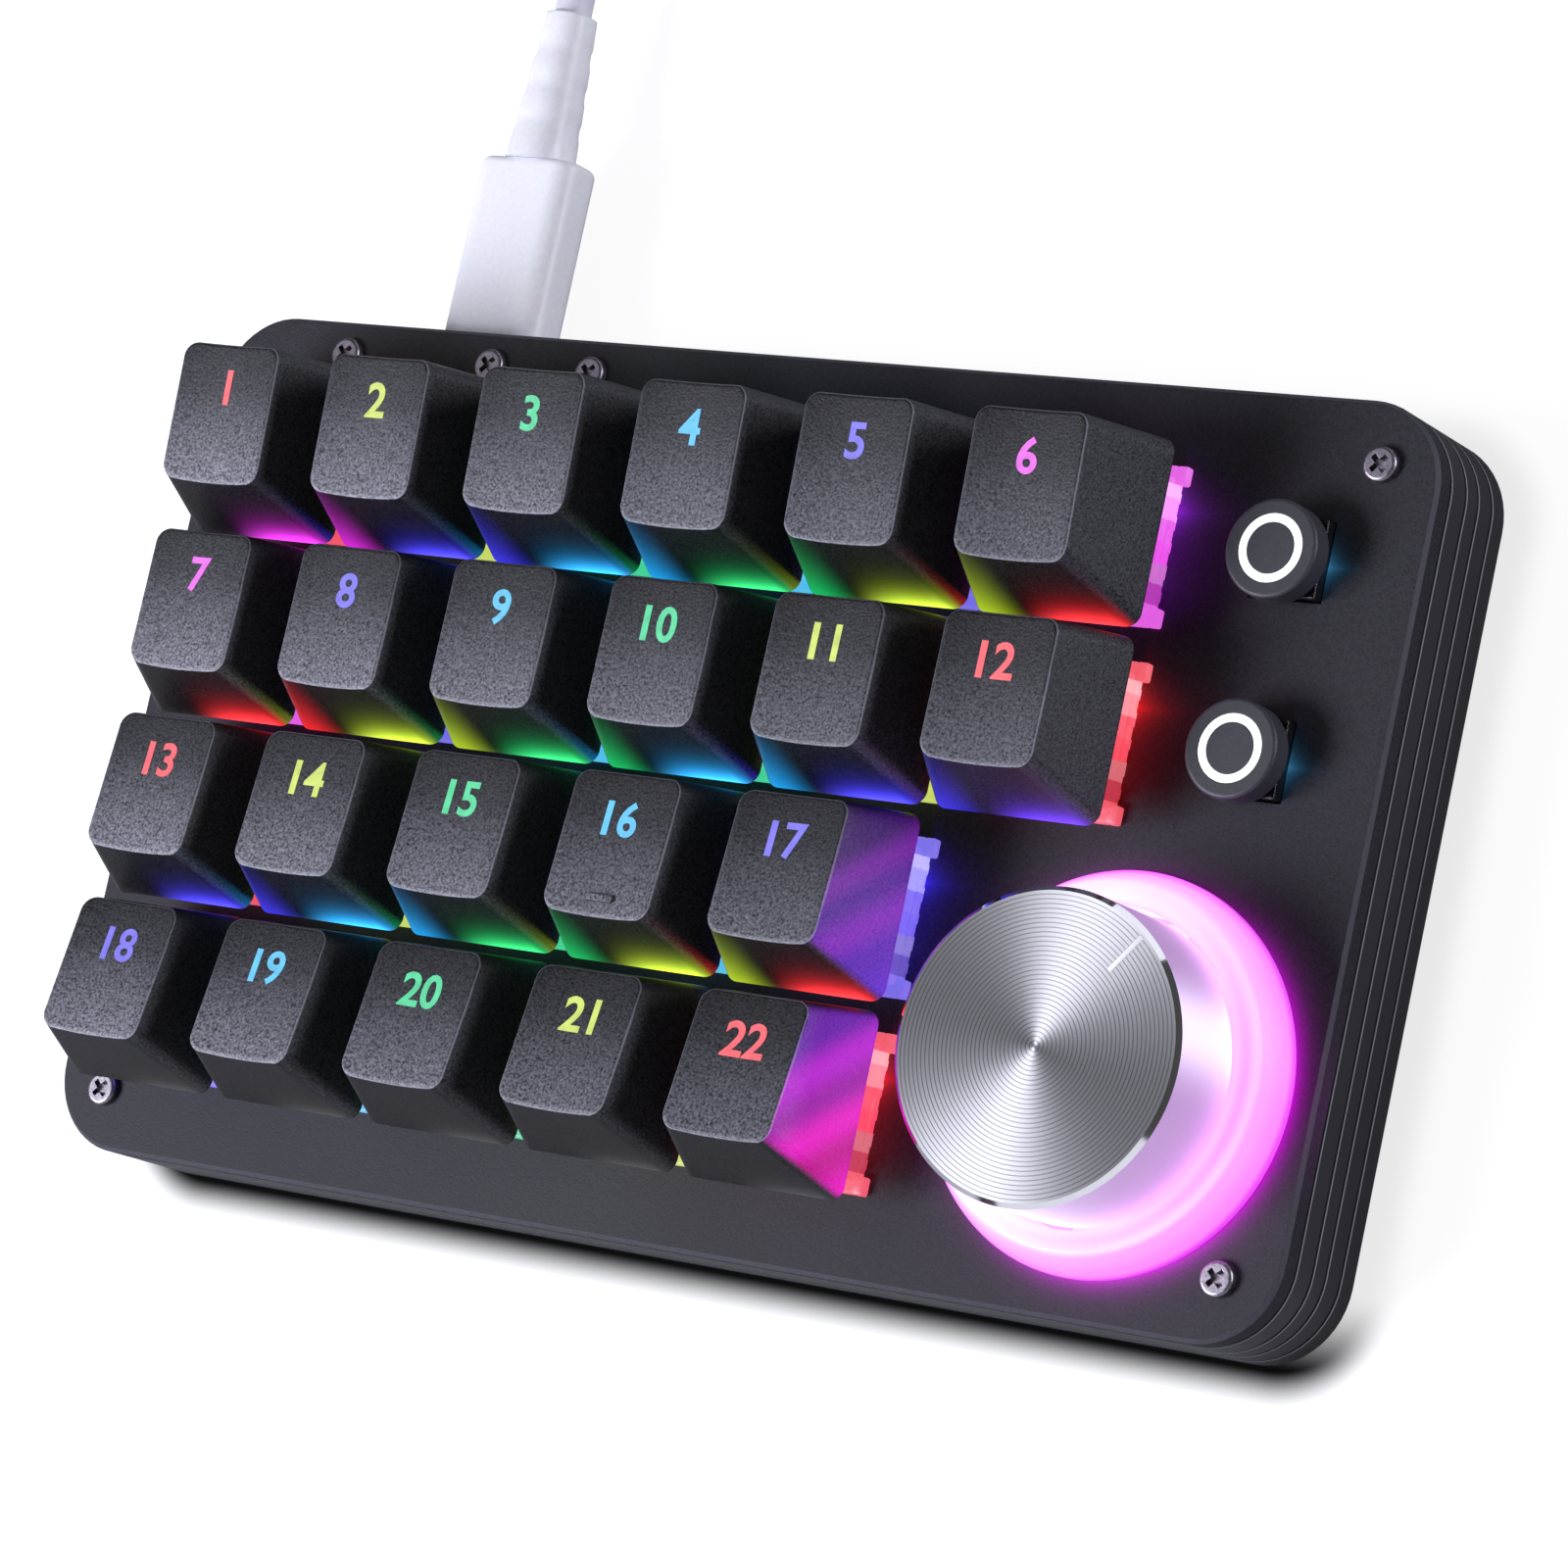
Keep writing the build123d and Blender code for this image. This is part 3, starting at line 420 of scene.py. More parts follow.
class Net:
    """The nodes of one material or of the world."""

    def __init__(self, owner):
        self.owner = owner
        self.tree = owner.node_tree
        self.shader = self.tree.nodes.get("Principled BSDF")

    def fill(self, socket, value):
        """Joins a value to a socket, or sets the socket's own value."""
        if isinstance(value, Value):
            self.tree.links.new(value.socket, socket)
        else:
            socket.default_value = value

    def node(self, kind, output=0, settings=None, **sockets):
        """One output of a new node whose settings are made and whose sockets are filled."""
        made = self.tree.nodes.new("ShaderNode" + kind)
        for name, value in (settings or {}).items():
            setattr(made, name, value)
        for name, value in sockets.items():
            self.fill(made.inputs[name.replace("_", " ")], value)
        return Value(self, made.outputs[output])

    def split(self, kind, **sockets):
        """All outputs of a new node that takes something apart."""
        made = self.node(kind, **sockets).socket.node
        return [Value(self, output) for output in made.outputs]

    def sum(self, operation, *values, kind="Math"):
        """The outcome of one sum on plain numbers or values."""
        outcome = self.node(kind, settings={"operation": operation})
        for socket, value in zip(outcome.socket.node.inputs, values):
            self.fill(socket, value)
        return outcome

    def most(self, first, second):
        """The higher of two values."""
        return self.sum("MAXIMUM", first, second)

    def length(self, first, second):
        """The length of a step whose two parts are given."""
        return self.sum("SQRT", first * first + second * second)

    def step(self, value, start, end):
        """A smooth step from 0 at start to 1 at end, which may be the lower of the two."""
        upward = start < end
        return self.node(
            "MapRange", settings={"interpolation_type": "SMOOTHSTEP"}, Value=value,
            From_Min=min(start, end), From_Max=max(start, end),
            To_Min=0.0 if upward else 1.0, To_Max=1.0 if upward else 0.0,
        )

    def fade(self, height, reach):
        """A fade from 1 at no height, to a third of it at each further reach."""
        return self.sum("EXPONENT", height * (-1 / reach))

    def light(self, *lights):
        """The sum of several (colour, strength) lights as one colour."""
        total = None
        for colour, strength in lights:
            scaled = self.node("VectorMath", settings={"operation": "SCALE"}, Scale=strength)
            self.fill(scaled.socket.node.inputs[0], colour if isinstance(colour, Value) else colour[:3])
            total = self.sum("ADD", total, scaled, kind="VectorMath") if total else scaled
        return total

    def ramp(self, value, stops, interpolation="LINEAR"):
        """The colour at a value on a ramp of (place, linear colour) stops in order."""
        colour = self.node("ValToRGB", Fac=value)
        ramp = colour.socket.node.color_ramp
        ramp.interpolation = interpolation
        while len(ramp.elements) < len(stops):
            ramp.elements.new(1.0)
        for element, (place, tone) in zip(ramp.elements, stops):
            element.position = place
            element.color = tone
        return colour

    def noise(self, scale, detail):
        """A noise in the piece's own space."""
        return self.node("TexNoise", "Fac", Vector=self.point(), Scale=scale, Detail=detail)

    def point(self):
        """The point that is shaded, in the piece's own space."""
        return self.node("TexCoord", "Object")

    def place(self):
        """The three coordinates of that point."""
        return self.split("SeparateXYZ", Vector=self.point())

    def facing(self):
        """How far the surface faces right, back and up."""
        return self.split("SeparateXYZ", Vector=self.node("TexCoord", "Normal"))

    def seen(self):
        """1 for what the camera sees by itself, 0 for what is lit or mirrored."""
        return self.node("LightPath", "Is Camera Ray")

    def now(self, name):
        """What is joined to one of the shader's sockets."""
        return Value(self, self.shader.inputs[name].links[0].from_socket)

    def set(self, name, value):
        """Joins or sets one of the shader's sockets."""
        self.fill(self.shader.inputs[name], value)

    def tone(self, kept, *more):
        """Keeps a share of the material's own colour, and adds (colour, strength) pairs to it."""
        self.set("Base Color", self.light((self.now("Base Color"), kept), *more))

    def glow(self, colour, strength=1.0):
        """Makes the material give off light."""
        self.set("Emission Color", colour)
        self.set("Emission Strength", strength)


def grained(
    name, dark, light, roughness, grain, relief, stretch=(1, 1, 1), edge=0.0, mottle=0.0, on=(), **sockets,
):
    """The net of a material whose tone, gloss and relief follow a fine noise in the piece's own space.

    dark, light and the roughness pair belong to the noise's low and high ends, grain is the size of its
    spots, relief its depth, edge the radius that soft edges are shaded with, mottle the size of wide patches
    that shift the gloss, and on the CAD nodes that wear it. Other names are the shader's own sockets."""
    material = bpy.data.materials.new(name)
    material.use_nodes = True
    net = Net(material)
    for socket, value in sockets.items():
        net.set(socket.replace("_", " "), value)
    noise = net.node(
        "TexNoise", "Fac", Vector=net.node("Mapping", Vector=net.point(), Scale=stretch),
        Scale=1 / grain, Detail=noise_detail, Roughness=noise_roughness,
    )
    net.set("Base Color", net.ramp(noise, shades(((noise_low, dark), (noise_high, light)))))
    gloss = net.node(
        "MapRange", Value=noise, From_Min=noise_low, From_Max=noise_high,
        To_Min=roughness[0], To_Max=roughness[1],
    )
    if mottle:
        gloss = gloss + (net.noise(1 / mottle, mottle_detail) - 0.5) * mottle_swing
    net.set("Roughness", gloss)
    bump = net.node("Bump", Height=noise, Strength=1.0, Distance=relief)
    if edge:
        soft = net.node("Bevel", settings={"samples": bevel_samples}, Radius=edge)
        net.fill(bump.socket.node.inputs["Normal"], soft)
    net.set("Normal", bump)
    for node in on:
        nodes[node].material_slots[0].material = material
    return net


def lighten_edges(net, facing, colour):
    """A painted highlight on the broken edges between upper faces and sides, told by how far they face up."""
    _, _, upward = net.facing()
    low, high = facing
    low_soft, high_soft = edge_softness
    above = net.step(upward, low - low_soft, low + low_soft)
    edge = above * net.step(upward, high + high_soft, high - high_soft)
    net.tone(1.0, (shade(*colour), edge))


def knob_place(net):
    """The distance from the knob's axis, and how far towards the halo a point lies, from -1 to 1."""
    x, y, _ = net.place()
    away_x = x - knob_centre[0]
    away_y = y - knob_centre[1]
    radius = net.length(away_x, away_y)
    return radius, (away_x * math.cos(halo_aim) + away_y * math.sin(halo_aim)) / radius


def row_colour(net, colours, shift=0):
    """The colour of the light under a point of a row, or under the point shift keys further on.

    Beyond both ends of the row there is no light."""
    x, _, _ = net.place()
    cells = [black, *[shade(*colour) for colour in colours], black]
    start = first_key[0] - (1.5 + shift) * key_pitch
    stops = [(index / len(cells), colour) for index, colour in enumerate(cells)]
    return net.ramp((x - start) / (len(cells) * key_pitch), stops, "CONSTANT")


def key_local(net, coordinate, first, half):
    """Where a point lies across its own key, with 0 in the middle and 1 at a given half size."""
    part = net.sum("FRACT", (coordinate - first) / key_pitch + 0.5)
    return (part - 0.5) * (key_pitch / half)


# Mesh helpers
def rounded_rectangle(half_x, half_y, radius, steps):
    """Points of a rounded rectangle about the origin, counter-clockwise."""
    points = []
    for corner, (sign_x, sign_y) in enumerate(((1, 1), (-1, 1), (-1, -1), (1, -1))):
        for step in range(steps + 1):
            angle = (corner + step / steps) * math.pi / 2
            points.append((
                sign_x * (half_x - radius) + radius * math.cos(angle),
                sign_y * (half_y - radius) + radius * math.sin(angle),
            ))
    return points


def add_loft(mesh, loops, closed_ends=True):
    """Joins closed loops of equally many points with quads, and caps the first and the last."""
    rings = [[mesh.verts.new(point) for point in loop] for loop in loops]
    for lower, upper in zip(rings, rings[1:]):
        for index in range(len(lower)):
            after = (index + 1) % len(lower)
            mesh.faces.new((lower[index], lower[after], upper[after], upper[index]))
    if closed_ends:
        mesh.faces.new(list(reversed(rings[0])))
        mesh.faces.new(rings[-1])


def add_block(mesh, low, high, edge):
    """A block between two corners whose upright and upper edges are broken."""
    centre_x, centre_y = (low[0] + high[0]) / 2, (low[1] + high[1]) / 2
    half_x, half_y = (high[0] - low[0]) / 2, (high[1] - low[1]) / 2
    sections = ((low[2], 0.0), (high[2] - edge, 0.0), (high[2] - edge / 3, edge / 3), (high[2], edge))
    loops = []
    for height, inset in sections:
        outline = rounded_rectangle(half_x - inset, half_y - inset, edge, 3)
        loops.append([(centre_x + x, centre_y + y, height) for x, y in outline])
    add_loft(mesh, loops)


def add_lathe(mesh, profile, segments):
    """Turns a profile of (radius, height, material index) about the upright axis into a closed shape."""
    angles = [2 * math.pi * step / segments for step in range(segments)]
    rings = []
    for radius, height, _ in profile:
        if radius == 0.0:
            rings.append([mesh.verts.new((0, 0, height))])
            continue
        rings.append([mesh.verts.new((radius * math.cos(a), radius * math.sin(a), height)) for a in angles])
    for (inner, outer), (_, _, slot) in zip(zip(rings, rings[1:]), profile):
        for index in range(segments):
            after = (index + 1) % segments
            corners = [
                inner[index % len(inner)], outer[index % len(outer)],
                outer[after % len(outer)], inner[after % len(inner)],
            ]
            mesh.faces.new(list(dict.fromkeys(corners))).material_index = slot


def make_piece(name, mesh, body, nets, place=(0, 0, 0), replaces=(), sharp=35.0):
    """Turns a bmesh into a piece that rides on a body."""
    bmesh.ops.recalc_face_normals(mesh, faces=mesh.faces)
    data = bpy.data.meshes.new(name)
    mesh.to_mesh(data)
    mesh.free()
    for net in nets:
        data.materials.append(net.owner)
    data.shade_smooth()
    data.set_sharp_from_angle(angle=math.radians(sharp))
    piece = add_object(name, data)
    piece.location = place
    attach(piece, body)
    if replaces:
        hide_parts(*replaces)
    return piece


def key_centre(row, column):
    """Centre of one key in the plan."""
    return (first_key[0] + column * key_pitch, first_key[1] - row * key_pitch)


def key_name(row, column, kind="key"):
    """Name of one key's node and body, or of another thing that each key has."""
    return f"{kind}_r{row + 1}c{column + 1}"


# Cable: one smooth line from the strain relief through the coil to the far plug
def coil_points():
    """The coil's turns: flat spirals piled in layers, with a climbing half turn after each layer."""
    radius, height, side, step = coil_outer_radius, coil_floor, 1, -coil_turn_pitch / 2
    crossings = [(radius, height)]
    for _ in range(coil_layers):
        for _ in range(half_turns_per_layer):
            radius += step
            side = -side
            crossings.append((side * radius, height))
        height += coil_layer_pitch
        side = -side
        crossings.append((side * radius, height))
        step = -step
    crossings.append((-side * coil_tail_radius, coil_tail_height))
    reach = 1 / math.cos(math.pi / (2 * points_per_half_turn))
    points = []
    for (x0, z0), (x1, z1) in zip(crossings, crossings[1:]):
        half = (x0 - x1) / 2 * reach
        for index in range(points_per_half_turn):
            angle = math.pi * index / points_per_half_turn
            rise = (1 - math.cos(angle)) / 2
            points.append((
                coil_centre[0] + (x0 + x1) / 2 + half * math.cos(angle),
                coil_centre[1] + half * math.sin(angle),
                z0 + (z1 - z0) * rise,
            ))
    tail_x = coil_centre[0] + crossings[-1][0]
    tail_side = 1 if crossings[-1][0] > 0 else -1
    points.append((tail_x, coil_centre[1], coil_tail_height))
    points.append((tail_x, coil_centre[1] + tail_side * coil_tail_run, coil_tail_height))
    return points


def make_cable(net):
    """The cable as a round curve on the route's points and the coil's turns."""
    curve = bpy.data.curves.new("cable_cord", "CURVE")
    curve.dimensions = "3D"
    curve.bevel_depth = cable_radius
    curve.bevel_resolution = 5
    curve.use_fill_caps = True
    curve.resolution_u = 6
    points = [*cable_route, *coil_points()]
    spline = curve.splines.new("NURBS")
    spline.points.add(len(points) - 1)
    for point, (x, y, z) in zip(spline.points, points):
        point.co = (x, y, z, 1.0)
    spline.order_u = 3
    spline.use_endpoint_u = True
    curve.materials.append(net.owner)
    cable = add_object("cable_cord", curve)
    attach(cable, "base")
    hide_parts("cable", "cable_coil")
    return cable


# Strain relief: a tapered sleeve with moulded rings
def make_relief(net):
    """A sleeve about the cable's axis, ringed by grooves, thinner towards the cable."""
    exit_x, _, exit_z = cable_route[0]
    profile = [(0.0, 0.0, 0), (relief_radius, 0.0, 0)]
    pitch = relief_length / (relief_ring_count + 1)
    for ring in range(relief_ring_count):
        for along, sunk in relief_groove_profile:
            share = (ring + relief_first_ring + along) * pitch / relief_length
            radius = relief_radius + (relief_end_radius - relief_radius) * share
            profile.append((radius - sunk * relief_groove, share * relief_length, 0))
    profile += [(relief_end_radius, relief_length, 0), (0.0, relief_length, 0)]
    mesh = bmesh.new()
    add_lathe(mesh, profile, relief_segments)
    for vert in mesh.verts:
        x, y, z = vert.co
        vert.co = (x, z, y)
    place = (exit_x, relief_start, exit_z)
    return make_piece("relief_sleeve", mesh, "base", [net], place, ("strain_relief",))


# Tie: a woven strap round the turns, its end doubled back on top
def make_tie(net):
    """The strap's closed loop and its doubled end, both with rounded edges."""
    low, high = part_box("cable_tie")
    centre_x, middle_y, middle_z = [(low[axis] + high[axis]) / 2 for axis in range(3)]
    half_y, half_z = (high[1] - low[1]) / 2, (high[2] - low[2]) / 2
    inner_half = tie_half_width - tie_edge
    outer_inset = tie_thickness - tie_edge
    section = [
        (-tie_half_width, tie_edge), (-inner_half, 0.0), (inner_half, 0.0), (tie_half_width, tie_edge),
        (tie_half_width, outer_inset), (inner_half, tie_thickness),
        (-inner_half, tie_thickness), (-tie_half_width, outer_inset),
    ]
    loops = []
    for across, inset in [*section, section[0]]:
        outline = rounded_rectangle(half_y - inset, half_z - inset, tie_corner - inset, 6)
        loops.append([(centre_x + across, middle_y + y, middle_z + z) for y, z in outline])
    mesh = bmesh.new()
    add_loft(mesh, loops, closed_ends=False)
    bmesh.ops.remove_doubles(mesh, verts=mesh.verts, dist=1e-7)
    tab_low = (centre_x - tie_tab_half_width, middle_y - tie_tab_length / 2, high[2] - tie_tab_sunk)
    tab_high = (centre_x + tie_tab_half_width, middle_y + tie_tab_length / 2, high[2] + tie_tab_rise)
    add_block(mesh, tab_low, tab_high, tie_edge)
    return make_piece("tie_strap", mesh, "base", [net], (0, 0, 0), ("cable_tie",))


def woven(name, dark, light, thread):
    """A strap material: two crossing sets of threads in tone and relief."""
    net = grained(name, dark, light, roughness=(0.75, 0.9), grain=thread / 3, relief=thread / 20)
    x, y, z = net.place()
    turn = 2 * math.pi / thread
    weave = net.sum("SINE", x * turn) * net.sum("SINE", (y + z) * turn)
    net.set("Normal", net.node("Bump", Height=weave, Strength=1.0, Distance=thread / 8))
    net.set("Base Color", net.ramp(weave * 0.5 + 0.5, shades(((0.1, dark), (0.9, light)))))
    return net


cable_white = grained(
    "cable_white", (214, 215, 224), (228, 229, 236), roughness=(0.38, 0.5), grain=0.0006,
    relief=2e-5, mottle=0.02, Specular_IOR_Level=0.45,
)
plug_white = grained(
    "plug_white", (240, 241, 246), (248, 249, 252), roughness=(0.32, 0.42), grain=0.0005,
    relief=8e-6, edge=0.0004, mottle=0.01, on=("usb_plug", "far_plug"),
    Subsurface_Weight=0.12, Subsurface_Scale=0.002,
)
cable = make_cable(cable_white)
relief = make_relief(plug_white)
tie = make_tie(woven("tie_black", (24, 24, 26), (52, 52, 55), tie_thread))


# Case: sand-blasted plate, satin layers with their seams, screws, nuts and feet
def light_beside(net, start_x, reach):
    """Light on the plate that starts at a place and fades to its right."""
    x, _, _ = net.place()
    return net.fade(net.most(x - start_x, 0.0), reach) * net.step(x, start_x - light_edge, start_x)


def finish_plate():
    """Sand-blasted black with painted highlights on its edges, and painted light beside the last keys, the
    buttons and the ring.
    """
    net = grained(
        "plate_black", (2, 2, 5), (44, 42, 51), roughness=(0.54, 0.68), grain=0.0003,
        relief=3e-5, edge=0.00015, mottle=0.03, on=("top_plate",), Specular_IOR_Level=0.4,
    )
    # Painted highlight along the plate's upper edges
    lighten_edges(net, plate_edge_facing, plate_edge_highlight)
    _, y, _ = net.place()
    lights = []
    for row, colour in enumerate(spill_colours):
        end_x, end_y = key_centre(row, row_key_counts[row] - 1)
        start_x = end_x + housing_half
        spot = light_beside(net, start_x, spill_reach) * net.fade(abs(y - (end_y + spill_back)), spill_reach)
        wash = light_beside(net, start_x, spill_wash_reach) * net.step(abs(y - end_y), *spill_wash_span)
        lights.append((shade(*colour), spot * spill_level + wash * spill_wash_level))
    for row in button_rows:
        beyond = abs(y - (key_centre(row, 0)[1] + button_light_shift))
        spot = light_beside(net, button_edge_x, button_light_reach) * net.fade(beyond, button_light_reach)
        lights.append((shade(*button_light_colour), spot * button_light_level))
    radius, ahead = knob_place(net)
    towards = net.step(ahead, *halo_span) * halo_gain + halo_least
    lights.append((shade(*halo_colour), net.fade(net.most(radius - ring_outer, 0.0), halo_reach) * towards))
    net.glow(net.light(*lights))


def add_seams(net):
    """Dark, dull lines where the case's layers meet, each with a painted highlight on the upper edge of the
    layer below.
    """
    _, _, z = net.place()
    bands = []
    for drop, half_width in ((0.0, seam_half_width), (seam_edge_drop, seam_edge_half_width)):
        nearest = 1.0
        for height in seam_heights:
            nearest = net.sum("MINIMUM", abs(z + (drop - height)), nearest)
        bands.append(net.step(nearest, (1 + seam_softness) * half_width, (1 - seam_softness) * half_width))
    seam, edge = bands
    net.set("Roughness", net.most(net.now("Roughness"), seam))
    # The pale line under each seam is a painted highlight
    net.tone(1.0 - seam * seam_darkness, (shade(*seam_edge_highlight), edge))


finish_plate()
frame_black = grained(
    "frame_black", (34, 33, 37), (47, 46, 50), roughness=(0.40, 0.50), grain=0.0002,
    relief=4e-6, stretch=(1, 1, 6), mottle=0.012, Specular_IOR_Level=0.6,
    on=("upper_frame", "middle_frame", "lower_frame", "bottom_plate"),
)
add_seams(frame_black)
grained(
    "screw_steel", (128, 122, 130), (160, 153, 161), roughness=(0.32, 0.44), grain=0.0003,
    relief=4e-6, edge=0.0001, on=("case_screws", "case_nuts"), Metallic=1.0,
)
grained(
    "foot_rubber", (22, 22, 22), (34, 34, 34), roughness=(0.78, 0.9), grain=0.0003,
    relief=3e-5, edge=0.0003, on=("rubber_feet",),
)


# Inner pieces: board, chip, lights, switch parts, encoder and sockets
def light_from_ring(net):
    """The ring's own light on what lies under it."""
    radius, _ = knob_place(net)
    level = net.step(radius, ring_outer + under_ring_softness, ring_outer - under_ring_softness)
    net.glow(shade(*under_ring_colour), level)


board_mask = grained(
    "board_mask", (14, 46, 34), (22, 60, 44), roughness=(0.35, 0.5), grain=0.0006,
    relief=1e-5, mottle=0.01, on=("circuit_board",),
)
led_white = grained(
    "led_white", (225, 225, 215), (240, 240, 234), roughness=(0.4, 0.5), grain=0.0005,
    relief=1e-5, on=("key_leds", "ring_leds"),
)
light_from_ring(board_mask)
light_from_ring(led_white)
grained(
    "chip_black", (26, 26, 28), (38, 38, 40), roughness=(0.5, 0.65), grain=0.0002,
    relief=1e-5, on=("controller_chip",),
)
grained(
    "base_black", (24, 24, 27), (36, 36, 40), roughness=(0.4, 0.55), grain=0.0003,
    relief=1e-5, on=("switch_bases", "encoder_body", "encoder_plunger", "knob_insert"),
)
grained(
    "contact_gold", (196, 160, 84), (222, 188, 112), roughness=(0.25, 0.38), grain=0.0003,
    relief=5e-6, on=("switch_pins",), Metallic=1.0,
)
grained(
    "plain_metal", (198, 199, 202), (228, 229, 232), roughness=(0.38, 0.50), grain=0.0004,
    relief=4e-6, stretch=(1, 8, 1), edge=0.0001, Metallic=1.0,
    on=("encoder_bushing", "encoder_shaft", "usb_socket", "plug_tongue", "far_plug_shell"),
)
spring_steel = grained(
    "spring_steel", (160, 156, 140), (196, 192, 176), roughness=(0.25, 0.4), grain=0.0003,
    relief=4e-6, Metallic=1.0,
)


# Springs and snap domes: one spring in each switch, one dome under each button
def make_spring(row, column, net):
    """A wound return spring between its switch's floor and its key's stem."""
    low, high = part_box("switch_springs")
    centre_x, centre_y = key_centre(row, column)
    rise = high[2] - low[2] - 2 * spring_wire_radius
    steps = spring_turns * steps_per_turn
    loops = []
    for step in range(steps + 1):
        turn = 2 * math.pi * step / steps_per_turn
        height = low[2] + spring_wire_radius + rise * step / steps
        loop = []
        for side in range(wire_sides):
            angle = 2 * math.pi * side / wire_sides
            reach = spring_radius + spring_wire_radius * math.cos(angle)
            loop.append((
                centre_x + reach * math.cos(turn),
                centre_y + reach * math.sin(turn),
                height + spring_wire_radius * math.sin(angle),
            ))
        loops.append(loop)
    mesh = bmesh.new()
    add_loft(mesh, loops)
    name = key_name(row, column, "spring")
    replaced = ("switch_springs",) if (row, column) == (0, 0) else ()
    spring = make_piece(name, mesh, "base", [net], replaces=replaced, sharp=70.0)
    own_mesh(spring)


def make_dome(button, net):
    """A thin snap dome under one button's stem."""
    low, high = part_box("button_domes")
    cap_low, cap_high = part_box(f"button_cap_{button}")
    place = ((cap_low[0] + cap_high[0]) / 2, (cap_low[1] + cap_high[1]) / 2, low[2])
    height = high[2] - low[2]
    outer_ball = (dome_radius**2 + height**2) / (2 * height)
    inner_ball = outer_ball - dome_wall
    sunk = outer_ball - height
    inner_radius = math.sqrt(inner_ball**2 - sunk**2)
    outward = range(dome_steps + 1)
    profile = []
    for ball, reach, steps in ((inner_ball, inner_radius, outward), (outer_ball, dome_radius, outward[::-1])):
        for step in steps:
            radius = reach * step / dome_steps
            profile.append((radius, math.sqrt(ball**2 - radius**2) - sunk, 0))
    mesh = bmesh.new()
    add_lathe(mesh, profile, dome_segments)
    replaced = ("button_domes",) if button == "upper" else ()
    dome = make_piece(f"dome_{button}", mesh, "base", [net], place, replaced)
    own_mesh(dome)


for row, column in keys:
    make_spring(row, column, spring_steel)
for button in ("upper", "lower"):
    make_dome(button, spring_steel)


# Keycaps: grained black, lit from below by the lights of the row in front
def tone_keycap(net):
    """Paints light on each keycap's top, lighter towards its front and most on the left-hand keys, and paints
    shade on its sides.
    """
    x, y, _ = net.place()
    rightward, _, upward = net.facing()
    local = key_local(net, y, first_key[1], keycap_half_base)
    tones = [(place, (tone, tone, tone, 1.0)) for place, tone in painted_top_light]
    across = net.node(
        "MapRange", Value=x, From_Min=first_key[0], From_Max=last_key_x,
        To_Min=painted_top_levels[0], To_Max=painted_top_levels[1],
    )
    # Painted light on the tops, and painted shade on the right and front faces
    top = net.ramp(local * 0.5 + 0.5, tones) * across
    side = net.step(rightward, *right_facing) * (right_face_shade - front_face_shade) + front_face_shade
    extra = (top - side) * net.step(upward, *top_facing)
    net.tone(extra + side)


def side_light(net, row, bands):
    """The ring's light on the right face of a row's last key, in soft slanting bands."""
    x, y, z = net.place()
    rightward, _, _ = net.facing()
    end_x, end_y = key_centre(row, row_key_counts[row] - 1)
    facing = net.step(rightward, *side_facing) * net.step(x, end_x, end_x + side_start)
    slant = (skirt_bottom - z) * side_slope - (y - end_y)
    return net.ramp(slant / side_length + side_middle, shades(bands), "EASE"), facing


def finish_keycaps(row):
    """One row's keycaps, with the coloured light on their front faces and on the row's right end."""
    net = grained(
        f"keycap_row_{row + 1}", (0, 0, 0), (80, 80, 86), roughness=(0.40, 0.54), grain=0.00027,
        relief=6e-5, edge=0.00025, Specular_IOR_Level=0.38,
        on=[key_name(row, column) for column in range(row_key_counts[row])],
    )
    tone_keycap(net)
    # Painted highlight along the keycaps' top edges
    lighten_edges(net, keycap_edge_facing, keycap_edge_highlight)
    x, _, z = net.place()
    rightward, backward, _ = net.facing()
    forward = backward * -1.0
    facing_front = net.step(forward, *front_facing)
    local = key_local(net, x, first_key[0], keycap_half_base)
    height = z - skirt_bottom
    levels = []
    for spans, reach, level in (front_middle, front_spread, front_left):
        strength = net.fade(height, reach) * facing_front * level
        for span in spans:
            strength = strength * net.step(local, *span)
        levels.append(strength)
    middle, spread, left = levels
    right = net.step(rightward, *corner_right_facing) * net.fade(height, corner_reach) * corner_level
    for span in corner_front_facing:
        right = right * net.step(forward, *span)
    lights = [(white, middle * front_white)]
    for shift, level in ((0, middle + spread), (-1, left), (1, right)):
        colour = row_colour(net, front_rows[row], shift)
        lights.append((net.node("Gamma", Color=colour, Gamma=front_gamma), level))
    if side_bands[row]:
        lights.append(side_light(net, row, side_bands[row]))
    net.glow(net.light(*lights))


for row in rows:
    finish_keycaps(row)


# Numerals: lit through the keycaps, laid on the dished tops
def numeral_material(row):
    """Light through one row's numerals, a little uneven as through moulded plastic."""
    net = grained(
        f"numeral_row_{row + 1}", (40, 40, 44), (60, 60, 64), roughness=(0.4, 0.5), grain=0.0004,
        relief=2e-5,
    )
    level = net.noise(numeral_patches, 1.0) * numeral_swing + numeral_level
    net.glow(net.light((row_colour(net, led_colours[row]), level), (white, level * numeral_white)))
    return net


